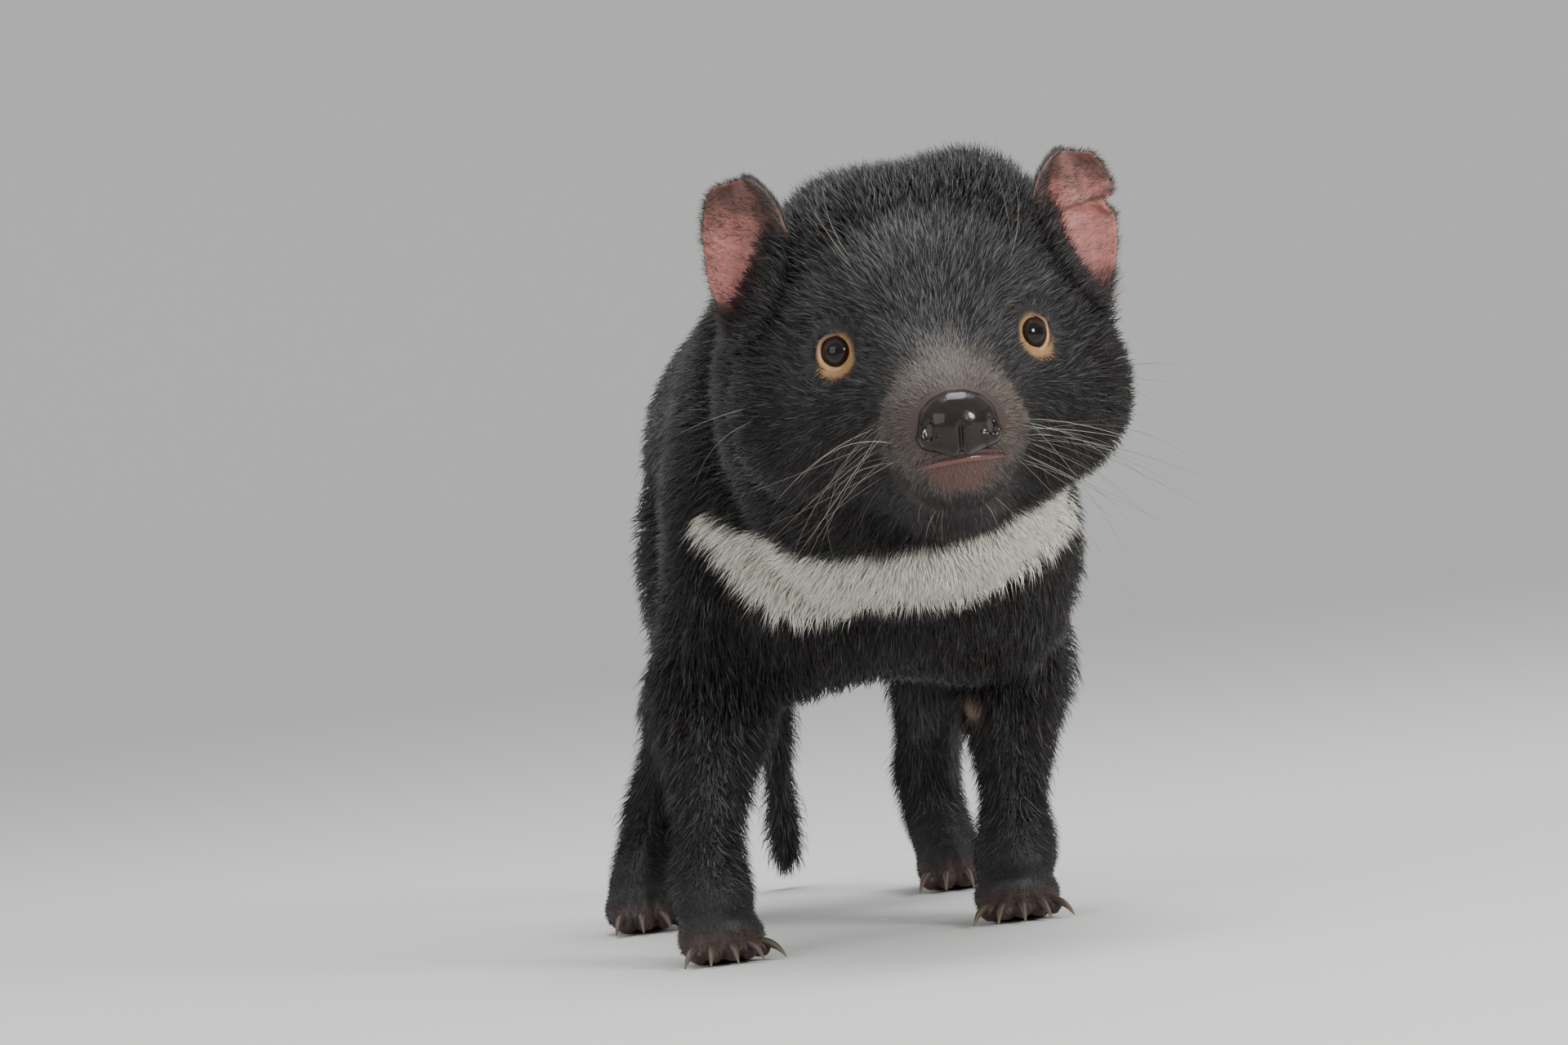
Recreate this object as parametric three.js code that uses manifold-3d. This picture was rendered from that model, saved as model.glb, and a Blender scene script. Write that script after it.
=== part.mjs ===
// A young adult Tasmanian devil standing on all fours, as a life-size still model.
// Millimetres, +Z up. The animal faces -Y and its left side is +X. Every outline includes the coat.
import * as THREE from "three";
import { mergeVertices } from "three/addons/utils/BufferGeometryUtils.js";
import Module from "manifold-3d";

const wasm = await Module();
wasm.setup();
const { Manifold, Mesh: WasmMesh } = wasm;

// Driving dimensions
const GAP = 0.3; // clearance between neighbouring pieces
const EYE_SPAN = 57; // between the centres of the eyeballs
const EYE_HEIGHT = 186; // eye line above the floor
const HEAD_SIDE = 28.6; // the head is carried this far to the animal's left of the forefeet
const HEAD_FORWARD = -205; // y of the eye line
const HEAD_PITCH = -5; // degrees, nose up
const HEAD_YAW = -2; // degrees, towards the animal's right
const HEAD_ROLL = 1; // degrees, left eye lower
const EYE_RADIUS = 7;
const CHEST_SWAY = 12; // the chest stands this far left of the forefeet's middle
const HIP_SWAY = 10;
const HIND_HALF_STANCE = 56.5;
const EAR_HEIGHT = { right: 47, left: 50 };
const EAR_HALF_WIDTH = 17.5;
const SIDES = { right: -1, left: 1 };

const vec = (x, y, z) => new THREE.Vector3(x, y, z);
const radians = THREE.MathUtils.degToRad;
const lerp = THREE.MathUtils.lerp;

// Colours, as the photograph shows them under white light
function finish(hex, roughness) {
  return new THREE.MeshStandardMaterial({ color: hex, roughness, metalness: 0 });
}
const COAT = finish(0x1b191a, 0.7);
const FACE_COAT = finish(0x211e1d, 0.75);
const WHITE_COAT = finish(0xf3efe2, 0.8);
const EAR_SKIN = finish(0xc98585, 0.6);
const NOSE_SKIN = finish(0x2a2020, 0.25);
const LIP_SKIN = finish(0x5b4039, 0.5);
const EYE_GLOSS = finish(0x0b0a0c, 0.05);
const CLAW_HORN = finish(0x6d6055, 0.4);
const PAD_SKIN = finish(0x241d1c, 0.7);

// Distance-like fields: negative inside
function ball(centre, radius) {
  return (p) => p.distanceTo(centre) - radius;
}
function egg(centre, radii) {
  const q = vec(0, 0, 0);
  const s = vec(0, 0, 0);
  return (p) => {
    q.copy(p).sub(centre).divide(radii);
    s.copy(q).divide(radii);
    const outer = q.length();
    return outer < 1e-6 ? -Math.min(radii.x, radii.y, radii.z) : (outer * (outer - 1)) / s.length();
  };
}
function cone(a, b, radiusA, radiusB) {
  const axis = b.clone().sub(a);
  const q = vec(0, 0, 0);
  return (p) => {
    const t = THREE.MathUtils.clamp(q.copy(p).sub(a).dot(axis) / axis.lengthSq(), 0, 1);
    return q.addScaledVector(axis, -t).length() - lerp(radiusA, radiusB, t);
  };
}
function blend(fields, width) {
  return (p) =>
    fields.reduce((near, field) => {
      const next = field(p);
      const share = Math.max(width - Math.abs(near - next), 0) / width;
      return Math.min(near, next) - (share * share * width) / 4;
    }, Infinity);
}

// A field with a soft-edged hollow sunk into it
function hollow(field, room, width) {
  const rest = blend([(p) => -field(p), room], width);
  return (p) => -rest(p);
}

// A closed skin over a stack of rings that all have the same number of points
function skinRings(rings, startPole, endPole) {
  const count = rings[0].length;
  const points = [...rings.flat(), startPole, endPole];
  const start = rings.length * count;
  const faces = [];
  for (let i = 0; i < count; i++) {
    const j = (i + 1) % count;
    faces.push(start, j, i);
    for (let r = 0; r + 1 < rings.length; r++) {
      const low = r * count;
      const high = low + count;
      faces.push(low + i, low + j, high + j, low + i, high + j, high + i);
    }
    const last = start - count;
    faces.push(start + 1, last + i, last + j);
  }
  const geometry = new THREE.BufferGeometry().setFromPoints(points);
  geometry.setIndex(faces);
  return geometry;
}

// A three.js geometry as a solid that can be joined and cut
function solidOf(geometry) {
  const bare = geometry.clone();
  bare.deleteAttribute("normal");
  bare.deleteAttribute("uv");
  const merged = mergeVertices(bare, 1e-4);
  const solid = new Manifold(
    new WasmMesh({
      numProp: 3,
      vertProperties: new Float32Array(merged.attributes.position.array),
      triVerts: new Uint32Array(merged.index.array),
    }),
  );
  if (solid.volume() > 0) return solid;
  for (let i = 0; i < merged.index.count; i += 3) {
    const kept = merged.index.array[i + 1];
    merged.index.array[i + 1] = merged.index.array[i + 2];
    merged.index.array[i + 2] = kept;
  }
  return solidOf(merged);
}
function geometryOf(solid) {
  const mesh = solid.getMesh();
  const points = new Float32Array(mesh.numVert * 3);
  for (let i = 0; i < mesh.numVert; i++)
    points.set(mesh.vertProperties.subarray(i * mesh.numProp, i * mesh.numProp + 3), i * 3);
  const geometry = new THREE.BufferGeometry();
  geometry.setAttribute("position", new THREE.BufferAttribute(points, 3));
  geometry.setIndex(new THREE.BufferAttribute(mesh.triVerts, 1));
  geometry.computeVertexNormals();
  return geometry;
}
const join = (solids) => solids.reduce((all, next) => all.add(next));
const cut = (solid, cutters) => cutters.reduce((rest, cutter) => rest.subtract(cutter), solid);
function largest(solid) {
  return solid.decompose().sort((a, b) => b.volume() - a.volume())[0];
}

// Where a ray that starts inside a field leaves it
function surfaceAt(field, origin, direction, reach = 400) {
  const p = vec(0, 0, 0);
  const at = (t) => field(p.copy(origin).addScaledVector(direction, t));
  let inside = 0;
  let outside = 0.5;
  while (at(outside) < 0 && outside < reach) {
    inside = outside;
    outside += Math.max(0.5, -0.6 * at(outside));
  }
  for (let i = 0; i < 24; i++) {
    const middle = (inside + outside) / 2;
    if (at(middle) < 0) inside = middle;
    else outside = middle;
  }
  return p.copy(origin).addScaledVector(direction, inside).clone();
}

// A field's surface as rings round a spine, with a dome of rays over each end
function wrap(field, spine, { rings, sides, dome = 4, grow = 0, up = vec(0, 0, 1) }) {
  const curve = new THREE.CatmullRomCurve3(spine);
  const grown = (p) => field(p) - grow;
  const across = vec(0, 0, 0);
  const rise = vec(0, 0, 0);
  const ringAt = (t, lean, sign) => {
    const centre = curve.getPointAt(t);
    const tangent = curve.getTangentAt(t).multiplyScalar(sign);
    across.crossVectors(up, curve.getTangentAt(t)).normalize();
    rise.crossVectors(curve.getTangentAt(t), across);
    return Array.from({ length: sides }, (_, i) => {
      const turn = (2 * Math.PI * i) / sides;
      const direction = across.clone().multiplyScalar(Math.cos(turn) * Math.cos(lean));
      direction.addScaledVector(rise, Math.sin(turn) * Math.cos(lean));
      direction.addScaledVector(tangent, Math.sin(lean));
      return surfaceAt(grown, centre, direction);
    });
  };
  const stack = [];
  for (let k = dome - 1; k > 0; k--) stack.push(ringAt(0, (k * Math.PI) / 2 / dome, -1));
  for (let i = 0; i <= rings; i++) stack.push(ringAt(i / rings, 0, 1));
  for (let k = 1; k < dome; k++) stack.push(ringAt(1, (k * Math.PI) / 2 / dome, 1));
  const startPole = surfaceAt(grown, curve.getPointAt(0), curve.getTangentAt(0).negate());
  const endPole = surfaceAt(grown, curve.getPointAt(1), curve.getTangentAt(1));
  return solidOf(skinRings(stack, startPole, endPole));
}

// A three.js sphere as an egg-shaped solid
function eggSolid(centre, radii, across = 20, down = 14) {
  const geometry = new THREE.SphereGeometry(1, across, down);
  geometry.scale(radii.x, radii.y, radii.z).translate(centre.x, centre.y, centre.z);
  return solidOf(geometry);
}

// Everything on the far side of a plane, as a large box that cuts
const FAR = 600;
function beyond(point, normal) {
  const geometry = new THREE.BoxGeometry(FAR, FAR, FAR);
  const turn = new THREE.Quaternion().setFromUnitVectors(vec(0, 0, 1), normal.clone().normalize());
  geometry.translate(0, 0, FAR / 2).applyQuaternion(turn).translate(point.x, point.y, point.z);
  return solidOf(geometry);
}
const FLOOR_CUT = beyond(vec(0, 0, 0), vec(0, 0, -1));

// The two halves of a solid on either side of a thin cut across its axis
function part(solid, point, axis) {
  const unit = axis.clone().normalize();
  const half = GAP / 2;
  const before = solid.subtract(beyond(point.clone().addScaledVector(unit, -half), unit));
  const after = solid.subtract(beyond(point.clone().addScaledVector(unit, half), unit.clone().negate()));
  return [largest(before), largest(after)];
}

// Locks: flat, tapered tufts that bend over along the lie of the coat, their roots sunk in what they grow from
const LOCK_SINK = 3;
const LOCK_FLATNESS = 0.45;
const LOCK_STATIONS = [
  { along: -0.08, share: 0.8 },
  { along: 0.28, share: 1 },
  { along: 0.68, share: 0.62 },
];
let seed = 20;
function draw(low, high) {
  seed = (seed * 16807) % 2147483647;
  return lerp(low, high, seed / 2147483647);
}
function slopeOf(field, p) {
  const step = 0.5;
  const along = (axis) => {
    const ahead = field(p.clone().addScaledVector(axis, step));
    return ahead - field(p.clone().addScaledVector(axis, -step));
  };
  return vec(along(vec(1, 0, 0)), along(vec(0, 1, 0)), along(vec(0, 0, 1))).normalize();
}
function lock(root, out, lie, { length, width, lift }) {
  const ahead = lie.clone().addScaledVector(out, -lie.dot(out)).normalize();
  const side = vec(0, 0, 0).crossVectors(out, ahead);
  const lineAt = (t) => {
    const height = t < 0 ? -LOCK_SINK : lift * length * Math.sin((t * Math.PI) / 2);
    return root.clone().addScaledVector(ahead, length * t).addScaledVector(out, height);
  };
  const rings = LOCK_STATIONS.map(({ along, share }) =>
    Array.from({ length: 4 }, (_, k) => {
      const turn = (k * Math.PI) / 2;
      const p = lineAt(along).addScaledVector(side, (width / 2) * share * Math.cos(turn));
      return p.addScaledVector(out, (width / 2) * LOCK_FLATNESS * share * Math.sin(turn));
    }),
  );
  const buried = lineAt(-0.12).addScaledVector(out, -0.5);
  return solidOf(skinRings(rings, buried, lineAt(1)));
}

const devil = new THREE.Group();
const stance = new THREE.Group();
devil.add(stance);
function addNode(name, solid, material, group = stance) {
  const mesh = new THREE.Mesh(geometryOf(largest(solid)), material);
  mesh.name = name;
  group.add(mesh);
}
const both = (make) => [make(-1), make(1)];

// Head, in its own frame: origin midway between the eyes, the nose towards -Y
const headPose = new THREE.Group();
headPose.position.set(HEAD_SIDE, HEAD_FORWARD, EYE_HEIGHT);
headPose.rotation.set(radians(HEAD_PITCH), radians(HEAD_ROLL), radians(HEAD_YAW));
stance.add(headPose);
headPose.updateMatrixWorld(true);
const inStance = (solid) => solid.transform(headPose.matrix.elements);
const inHead = (solid) => solid.transform(headPose.matrix.clone().invert().elements);

const eyeCentre = (side) => vec((side * EYE_SPAN) / 2, 2.5, 0);
const gaze = (side) => vec(side * 0.46, -0.88, 0.08).normalize();
const NOSE_CENTRE = vec(0, -48, -29.5);

function headField() {
  const skull = blend(
    [
      egg(vec(0, 40, 10), vec(47, 54, 45)), // cranium
      egg(vec(-23, 40, 26), vec(20, 36, 29)), // flat crown between the ears
      egg(vec(19, 40, 30), vec(19, 36, 30)),
      egg(vec(0, 16, 14), vec(38, 34, 32)), // forehead
      ...both((s) => egg(vec(s * 35, 32, -14), vec(29, 36, 32))), // jaw muscle and cheek
      egg(vec(0, 4, -10), vec(33, 30, 27)), // face between the eyes
      ...both((s) => egg(vec(s * 27, 3, 10), vec(11, 10, 6))), // brow
      cone(vec(0, -4, -15), vec(0, -33, -26), 25, 18), // muzzle
      ...both((s) => egg(vec(s * 10.5, -31, -31), vec(12.5, 16, 11))), // whisker pads
      cone(vec(0, 30, -36), vec(0, -16, -40), 27, 15), // lower jaw
      egg(vec(0, -28, -43), vec(13.5, 13, 9.5)), // chin
    ],
    12,
  );
  const sockets = blend(both((s) => ball(eyeCentre(s).addScaledVector(gaze(s), 16.5), 11)), 4);
  return hollow(skull, sockets, 6);
}
const HEAD_SPINE = [vec(0, 56, 0), vec(0, 10, -6), vec(0, -30, -27)];
const wrapHead = (grow) => wrap(headField(), HEAD_SPINE, { rings: 18, sides: 30, dome: 4, grow });

// The nose pad: a rounded pad with two wings, a nostril in each side and a groove down the middle
function nosePad(grow) {
  const pad = eggSolid(NOSE_CENTRE, vec(12.6 + grow, 9.5 + grow, 10.6 + grow), 14, 9);
  const wings = both((s) => {
    const centre = NOSE_CENTRE.clone().add(vec(s * 8.2, -0.5, -3.4));
    return eggSolid(centre, vec(5.4 + grow, 7 + grow, 5 + grow), 8, 6);
  });
  return join([pad, ...wings]);
}
function noseSolid() {
  const nostrils = both((s) => {
    const hole = new THREE.CapsuleGeometry(1.8, 4.2, 1, 7);
    hole.rotateX(radians(90)).rotateZ(radians(-52 * s));
    hole.translate(NOSE_CENTRE.x + s * 9.8, NOSE_CENTRE.y - 5.6, NOSE_CENTRE.z - 2);
    return solidOf(hole);
  });
  const groove = new THREE.BoxGeometry(0.8, 4, 14);
  groove.translate(0, NOSE_CENTRE.y - 9.6, NOSE_CENTRE.z - 8);
  return cut(nosePad(0), [...nostrils, solidOf(groove)]);
}

// Lids: a shell round each eyeball, open towards where the eye looks
const LID_THICK = 1.8;
function eyeBall(side, grow) {
  const geometry = new THREE.SphereGeometry(EYE_RADIUS + grow, 14, 9);
  geometry.rotateX(radians(90));
  const turn = new THREE.Quaternion().setFromUnitVectors(vec(0, -1, 0), gaze(side));
  const centre = eyeCentre(side);
  return solidOf(geometry.applyQuaternion(turn).translate(centre.x, centre.y, centre.z));
}
function lidOpening(side) {
  const opening = new THREE.CylinderGeometry(10, 4.4, 14, 16);
  opening.scale(1.05, 1, 0.95);
  opening.applyQuaternion(new THREE.Quaternion().setFromUnitVectors(vec(0, 1, 0), gaze(side)));
  const middle = eyeCentre(side).addScaledVector(gaze(side), EYE_RADIUS + 5);
  return solidOf(opening.translate(middle.x, middle.y, middle.z));
}

// Ear: a leaf-shaped cup, drawn as rings from its root to its tip
const EAR_ROOT = { right: vec(-45.5, 36, 14), left: vec(43.5, 34, 10) };
const EAR_TURN = { right: -44, left: 34 }; // degrees outward from facing forward
const EAR_SPLAY = 3; // degrees that the tip leans outward
const EAR_TEAR = { height: 0.66, reach: 0.055, depth: 5.5 }; // the torn notch in the left ear's outer edge
const EAR_STEPS = 8;
function earWidth(height) {
  const widest = 0.42;
  if (height < widest) return lerp(0.66, 1, Math.sin((height / widest) * (Math.PI / 2)));
  return Math.sqrt(Math.max(0, 1 - ((height - widest) / (1 - widest)) ** 2.6));
}
function earSolid(name, grow) {
  const side = SIDES[name];
  const heights = [-0.16, 0, 0.14, 0.28, 0.42, 0.52, 0.6, 0.66, 0.72, 0.82, 0.91, 0.97];
  const facing = new THREE.Matrix4().makeRotationZ(radians(EAR_TURN[name]));
  facing.premultiply(new THREE.Matrix4().makeRotationY(radians(side * EAR_SPLAY)));
  const place = (across, height, forward) =>
    vec(across, -forward, height * EAR_HEIGHT[name]).applyMatrix4(facing).add(EAR_ROOT[name]);
  const edgeOf = (height, s) => {
    const torn = name === "left" && s * side > 0;
    const near = torn ? Math.max(0, 1 - Math.abs(height - EAR_TEAR.height) / EAR_TEAR.reach) : 0;
    return EAR_HALF_WIDTH * earWidth(Math.max(height, 0)) - near * EAR_TEAR.depth + grow;
  };
  const ringAt = (height) => {
    const front = [];
    const back = [];
    for (let i = 0; i <= EAR_STEPS; i++) {
      const s = lerp(-1, 1, i / EAR_STEPS);
      const cup = 9 * s * s + 5 * height * height - 2.5;
      const thick = lerp(4.2, 2, Math.min(1, Math.max(height, 0) * 1.6)) * lerp(1, 0.62, s * s);
      const across = s * edgeOf(height, s);
      front.push(place(across, height, cup + thick / 2 + grow));
      back.unshift(place(across, height, cup - thick / 2 - grow));
    }
    return [...front, ...back];
  };
  return solidOf(skinRings(heights.map(ringAt), place(0, -0.2, -2), place(0, 1 + grow / 20, 3.4)));
}

// Torso and neck
function torsoField() {
  return blend(
    [
      egg(vec(CHEST_SWAY, -84, 158), vec(55, 64, 74)), // rib cage at the shoulders
      egg(vec(CHEST_SWAY + 2, -120, 133), vec(42, 38, 46)), // breast
      egg(vec(CHEST_SWAY - 35, -96, 122), vec(30, 44, 46)), // right shoulder
      egg(vec(CHEST_SWAY + 40, -92, 124), vec(33, 44, 50)), // left shoulder
      egg(vec(9, -20, 150), vec(54, 84, 67)), // ribs and belly
      egg(vec(9, 48, 154), vec(50, 72, 60)), // loin
      egg(vec(HIP_SWAY, 98, 152), vec(47, 58, 56)), // rump
    ],
    24,
  );
}
function neckField() {
  return blend(
    [
      egg(vec(25, -148, 174), vec(57, 44, 56)), // ruff behind the cheeks
      egg(vec(20, -150, 142), vec(46, 36, 42)), // throat
      cone(vec(23, -140, 176), vec(14, -88, 172), 54, 51),
    ],
    18,
  );
}
const TORSO_SPINE = [vec(13, -114, 146), vec(9, -12, 152), vec(HIP_SWAY, 106, 154)];
const wrapTorso = (grow) => wrap(torsoField(), TORSO_SPINE, { rings: 16, sides: 26, dome: 4, grow });
const NECK_SPINE = [vec(24, -156, 162), vec(14, -90, 166)];
const wrapNeck = (grow) => wrap(neckField(), NECK_SPINE, { rings: 5, sides: 26, dome: 3, grow });

// Head, neck and torso are modelled as one trunk and then parted by thin cuts
const torsoRoom = wrapTorso(GAP);
const lids = both((s) => eyeBall(s, LID_THICK));
const trunk = join([wrapTorso(0), wrapNeck(0), inStance(join([wrapHead(0), ...lids]))]);
const NAPE = { at: vec(0, 66, 14), axis: vec(0, 0.86, -0.5) }; // the cut behind the ears
const rearPoint = NAPE.at.clone().applyMatrix4(headPose.matrix);
const rearAxis = NAPE.axis.clone().transformDirection(headPose.matrix);
const [headPart, rest] = part(trunk, rearPoint, rearAxis);
const [torsoPart, neckPart] = part(rest, vec(0, -92, 222), vec(0, -0.87, 0.5));
const sockets = both((s) => join([eyeBall(s, GAP), lidOpening(s)]));
const face = cut(inHead(headPart), [...sockets, nosePad(GAP)]);

// The lower jaw: what lies under the line of the mouth, narrowing downward
const MOUTH = { height: -40, tilt: 3, half: 25, front: 58, rear: 30, depth: 40 };
function jawRegion(grow) {
  const geometry = new THREE.CylinderGeometry(1, 0.55, 1, 28);
  const long = (MOUTH.front + MOUTH.rear) / 2;
  geometry.rotateX(radians(90)).translate(0, 0, -0.5);
  geometry.scale(MOUTH.half + grow, long + grow, MOUTH.depth);
  geometry.translate(0, (MOUTH.rear - MOUTH.front) / 2, grow);
  geometry.rotateX(radians(MOUTH.tilt)).translate(0, 0, MOUTH.height);
  return solidOf(geometry);
}
// The crown's hair stands up and back, and a ruff of longer hair lies back from each cheek
const CROWN_ROWS = [
  { y: 18, half: 24, count: 7 },
  { y: 32, half: 29, count: 8 },
  { y: 47, half: 27, count: 8 },
];
const RUFF = { count: 8, top: 2, bottom: -46, y: 38 };
function headLocks() {
  const field = headField();
  const crown = CROWN_ROWS.flatMap(({ y, half, count }) =>
    Array.from({ length: count }, (_, i) => {
      const x = lerp(-half, half, i / (count - 1)) + draw(-1.5, 1.5);
      const root = surfaceAt(field, vec(x, y + draw(-3, 3), 16), vec(0, 0, 1));
      const shape = { length: draw(10, 14), width: draw(8, 10), lift: 0.62 };
      return lock(root, slopeOf(field, root), vec(x / 50 + draw(-0.3, 0.3), 0.8, 0), shape);
    }),
  );
  const ruffs = both((s) =>
    Array.from({ length: RUFF.count }, (_, i) => {
      const z = lerp(RUFF.top, RUFF.bottom, i / (RUFF.count - 1));
      const root = surfaceAt(field, vec(s * 16, RUFF.y + draw(-3, 3), z), vec(s, 0, 0));
      const shape = { length: draw(13, 17), width: draw(9, 11), lift: 0.4 };
      return lock(root, slopeOf(field, root), vec(s * 0.3, 0.8, -0.45 + draw(-0.2, 0.2)), shape);
    }),
  );
  return [...crown, ...ruffs.flat()];
}
const ears = Object.fromEntries(Object.keys(SIDES).map((name) => [name, earSolid(name, GAP)]));
const BLAZE_PROUD = 1.2;
const behindNape = wrapHead(GAP).intersect(beyond(NAPE.at, NAPE.axis));
const underRuff = [wrapTorso(BLAZE_PROUD + GAP), wrapNeck(BLAZE_PROUD + GAP), inStance(behindNape)];
const ruffRoom = inHead(join(underRuff));
const maned = join([face, cut(join(headLocks()), [ruffRoom, ears.right, ears.left])]);
addNode("head", maned.subtract(jawRegion(GAP)), FACE_COAT, headPose);
addNode("lower_jaw", face.intersect(jawRegion(0)), LIP_SKIN, headPose);
addNode("nose", noseSolid(), NOSE_SKIN, headPose);
const earRoom = [wrapHead(GAP), inHead(wrapNeck(GAP))];
for (const [name, side] of Object.entries(SIDES)) {
  addNode(`eye_${name}`, eyeBall(side, 0), EYE_GLOSS, headPose);
  addNode(`ear_${name}`, cut(earSolid(name, 0), earRoom), EAR_SKIN, headPose);
}

// The white blaze: a crescent across the breast, let into the coat and a little proud of it.
// Its corners are across and up from the eyes as seen from the front.
const BLAZE_TOP = [
  [-70, -50],
  [-42.7, -65],
  [-17.7, -66],
  [7.8, -61],
  [28.7, -52.5],
  [43, -44],
];
const BLAZE_LOW = [
  [48, -48],
  [42.3, -56],
  [30.3, -66],
  [6.3, -78],
  [-19, -79.5],
  [-39.4, -82],
  [-56, -74],
  [-72, -56],
];
const BLAZE_THICK = 4.5;
const BLAZE_REAR = -107;
const FRONT_VIEW = { turn: -6, roll: 6.5 }; // degrees: the direction from which the crescent is drawn
const BLAZE_ASIDE = (BLAZE_REAR - HEAD_FORWARD) * Math.tan(radians(-FRONT_VIEW.turn));
const blazeTurn = new THREE.Matrix4()
  .makeTranslation(HEAD_SIDE + BLAZE_ASIDE, BLAZE_REAR, EYE_HEIGHT)
  .multiply(new THREE.Matrix4().makeRotationZ(radians(FRONT_VIEW.turn)))
  .multiply(new THREE.Matrix4().makeRotationX(radians(90)))
  .multiply(new THREE.Matrix4().makeRotationZ(radians(-FRONT_VIEW.roll)));
function blazeColumn(grow) {
  const curve = (points) => new THREE.SplineCurve(points.map(([x, y]) => new THREE.Vector2(x, y)));
  const outline = [...curve(BLAZE_TOP).getPoints(10), ...curve(BLAZE_LOW).getPoints(12)];
  const wide = outline.map((p, i) => {
    const along = outline[(i + 1) % outline.length].clone().sub(outline.at(i - 1)).setLength(grow);
    return new THREE.Vector2(p.x - along.y, p.y + along.x);
  });
  const geometry = new THREE.ExtrudeGeometry(new THREE.Shape(wide), { depth: 95, bevelEnabled: false });
  return solidOf(geometry.applyMatrix4(blazeTurn).translate(0, grow, 0));
}
const breast = (grow) => join([wrapTorso(grow), wrapNeck(grow)]);
const blazeBed = breast(-BLAZE_THICK - GAP);
const blazeRoom = blazeColumn(GAP).subtract(blazeBed);
addNode("neck", neckPart.subtract(blazeRoom), COAT);
addNode("torso", torsoPart.subtract(blazeRoom), COAT);
const blaze = blazeColumn(0).intersect(breast(BLAZE_PROUD)).subtract(breast(-BLAZE_THICK));

// The ragged fringe along the crescent's lower edge, lying over the dark coat below it
const FRINGE = { count: 13, start: 0.12, end: 0.86 };
function blazeFringe() {
  const torso = torsoField();
  const neck = neckField();
  const field = (p) => Math.min(torso(p), neck(p));
  const edge = new THREE.SplineCurve(BLAZE_LOW.map(([x, y]) => new THREE.Vector2(x, y)));
  const forward = vec(0, 0, 1).transformDirection(blazeTurn);
  return Array.from({ length: FRINGE.count }, (_, i) => {
    const at = edge.getPoint(lerp(FRINGE.start, FRINGE.end, i / (FRINGE.count - 1)));
    const root = surfaceAt(field, vec(at.x, at.y + 2.5, 0).applyMatrix4(blazeTurn), forward);
    const shape = { length: draw(9, 13), width: draw(8.5, 10.5), lift: 0.22 };
    return lock(root, slopeOf(field, root), vec(draw(-0.35, 0.2), 0.1, -1), shape);
  });
}

// Legs: each is one limb that is then parted at its joints
function limb(joints, radii, muscle, rings, grow = 0) {
  const bones = joints.slice(1).map((joint, i) => cone(joints[i], joint, radii[i], radii[i + 1]));
  const field = blend([...bones, muscle], 10);
  return wrap(field, joints, { rings, sides: 14, dome: 3, grow, up: vec(0, -1, 0.2) });
}

// Toes fan out from a paw: each has a start, an end and a radius
function toesOf(centre, side, { count, reach, spread, radius }) {
  return Array.from({ length: count }, (_, i) => {
    const angle = (i / (count - 1) - 0.5) * radians(spread) - side * radians(4);
    const arch = reach * (1 - 0.1 * Math.abs(i / (count - 1) - 0.5));
    const from = centre.clone().add(vec(Math.sin(angle) * 6, -Math.cos(angle) * 3, -1));
    const to = centre.clone().add(vec(Math.sin(angle) * arch, -Math.cos(angle) * arch, 0));
    return { from, to: to.setZ(radius + 0.2), radius };
  });
}
function pawSolid(centre, size, toes, leg) {
  const digits = toes.map(({ from, to, radius }) =>
    wrap(cone(from, to, radius, radius * 0.92), [from, to], { rings: 1, sides: 6, dome: 2 }),
  );
  return join([eggSolid(centre, size, 12, 8), ...digits, leg]).subtract(FLOOR_CUT);
}
const CLAW_SIDES = 4;
const CLAW_LENGTH = 8.5;
function clawSolid(toe) {
  const forward = toe.to.clone().sub(toe.from).setZ(0).normalize();
  const side = vec(forward.y, -forward.x, 0);
  const lineAt = (t) => {
    const p = toe.to.clone().addScaledVector(forward, toe.radius * 0.5 + t * CLAW_LENGTH);
    return p.setZ(toe.to.z + 1 + 1.6 * Math.sin(t * Math.PI) - 4.2 * t * t);
  };
  const rings = [0, 0.4, 0.75].map((t) =>
    Array.from({ length: CLAW_SIDES }, (_, k) => {
      const turn = (2 * Math.PI * k) / CLAW_SIDES;
      const radius = lerp(1.8, 0.6, t);
      const p = lineAt(t).addScaledVector(side, 0.8 * radius * Math.cos(turn));
      return p.setZ(p.z + radius * Math.sin(turn));
    }),
  );
  return solidOf(skinRings(rings, lineAt(0), lineAt(1)));
}
function addFoot(prefix, name, paw, toes, room) {
  addNode(`${prefix}paw_${name}`, paw.subtract(room), PAD_SKIN);
  toes.forEach((toe, i) => {
    const claw = cut(clawSolid(toe), [paw]);
    addNode(`${prefix}claw_${name}_${i + 1}`, claw.translate(toeGap(toe)), CLAW_HORN);
  });
}
function toeGap(toe) {
  const forward = toe.to.clone().sub(toe.from).setZ(0).normalize();
  return forward.multiplyScalar(GAP).toArray();
}

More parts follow.
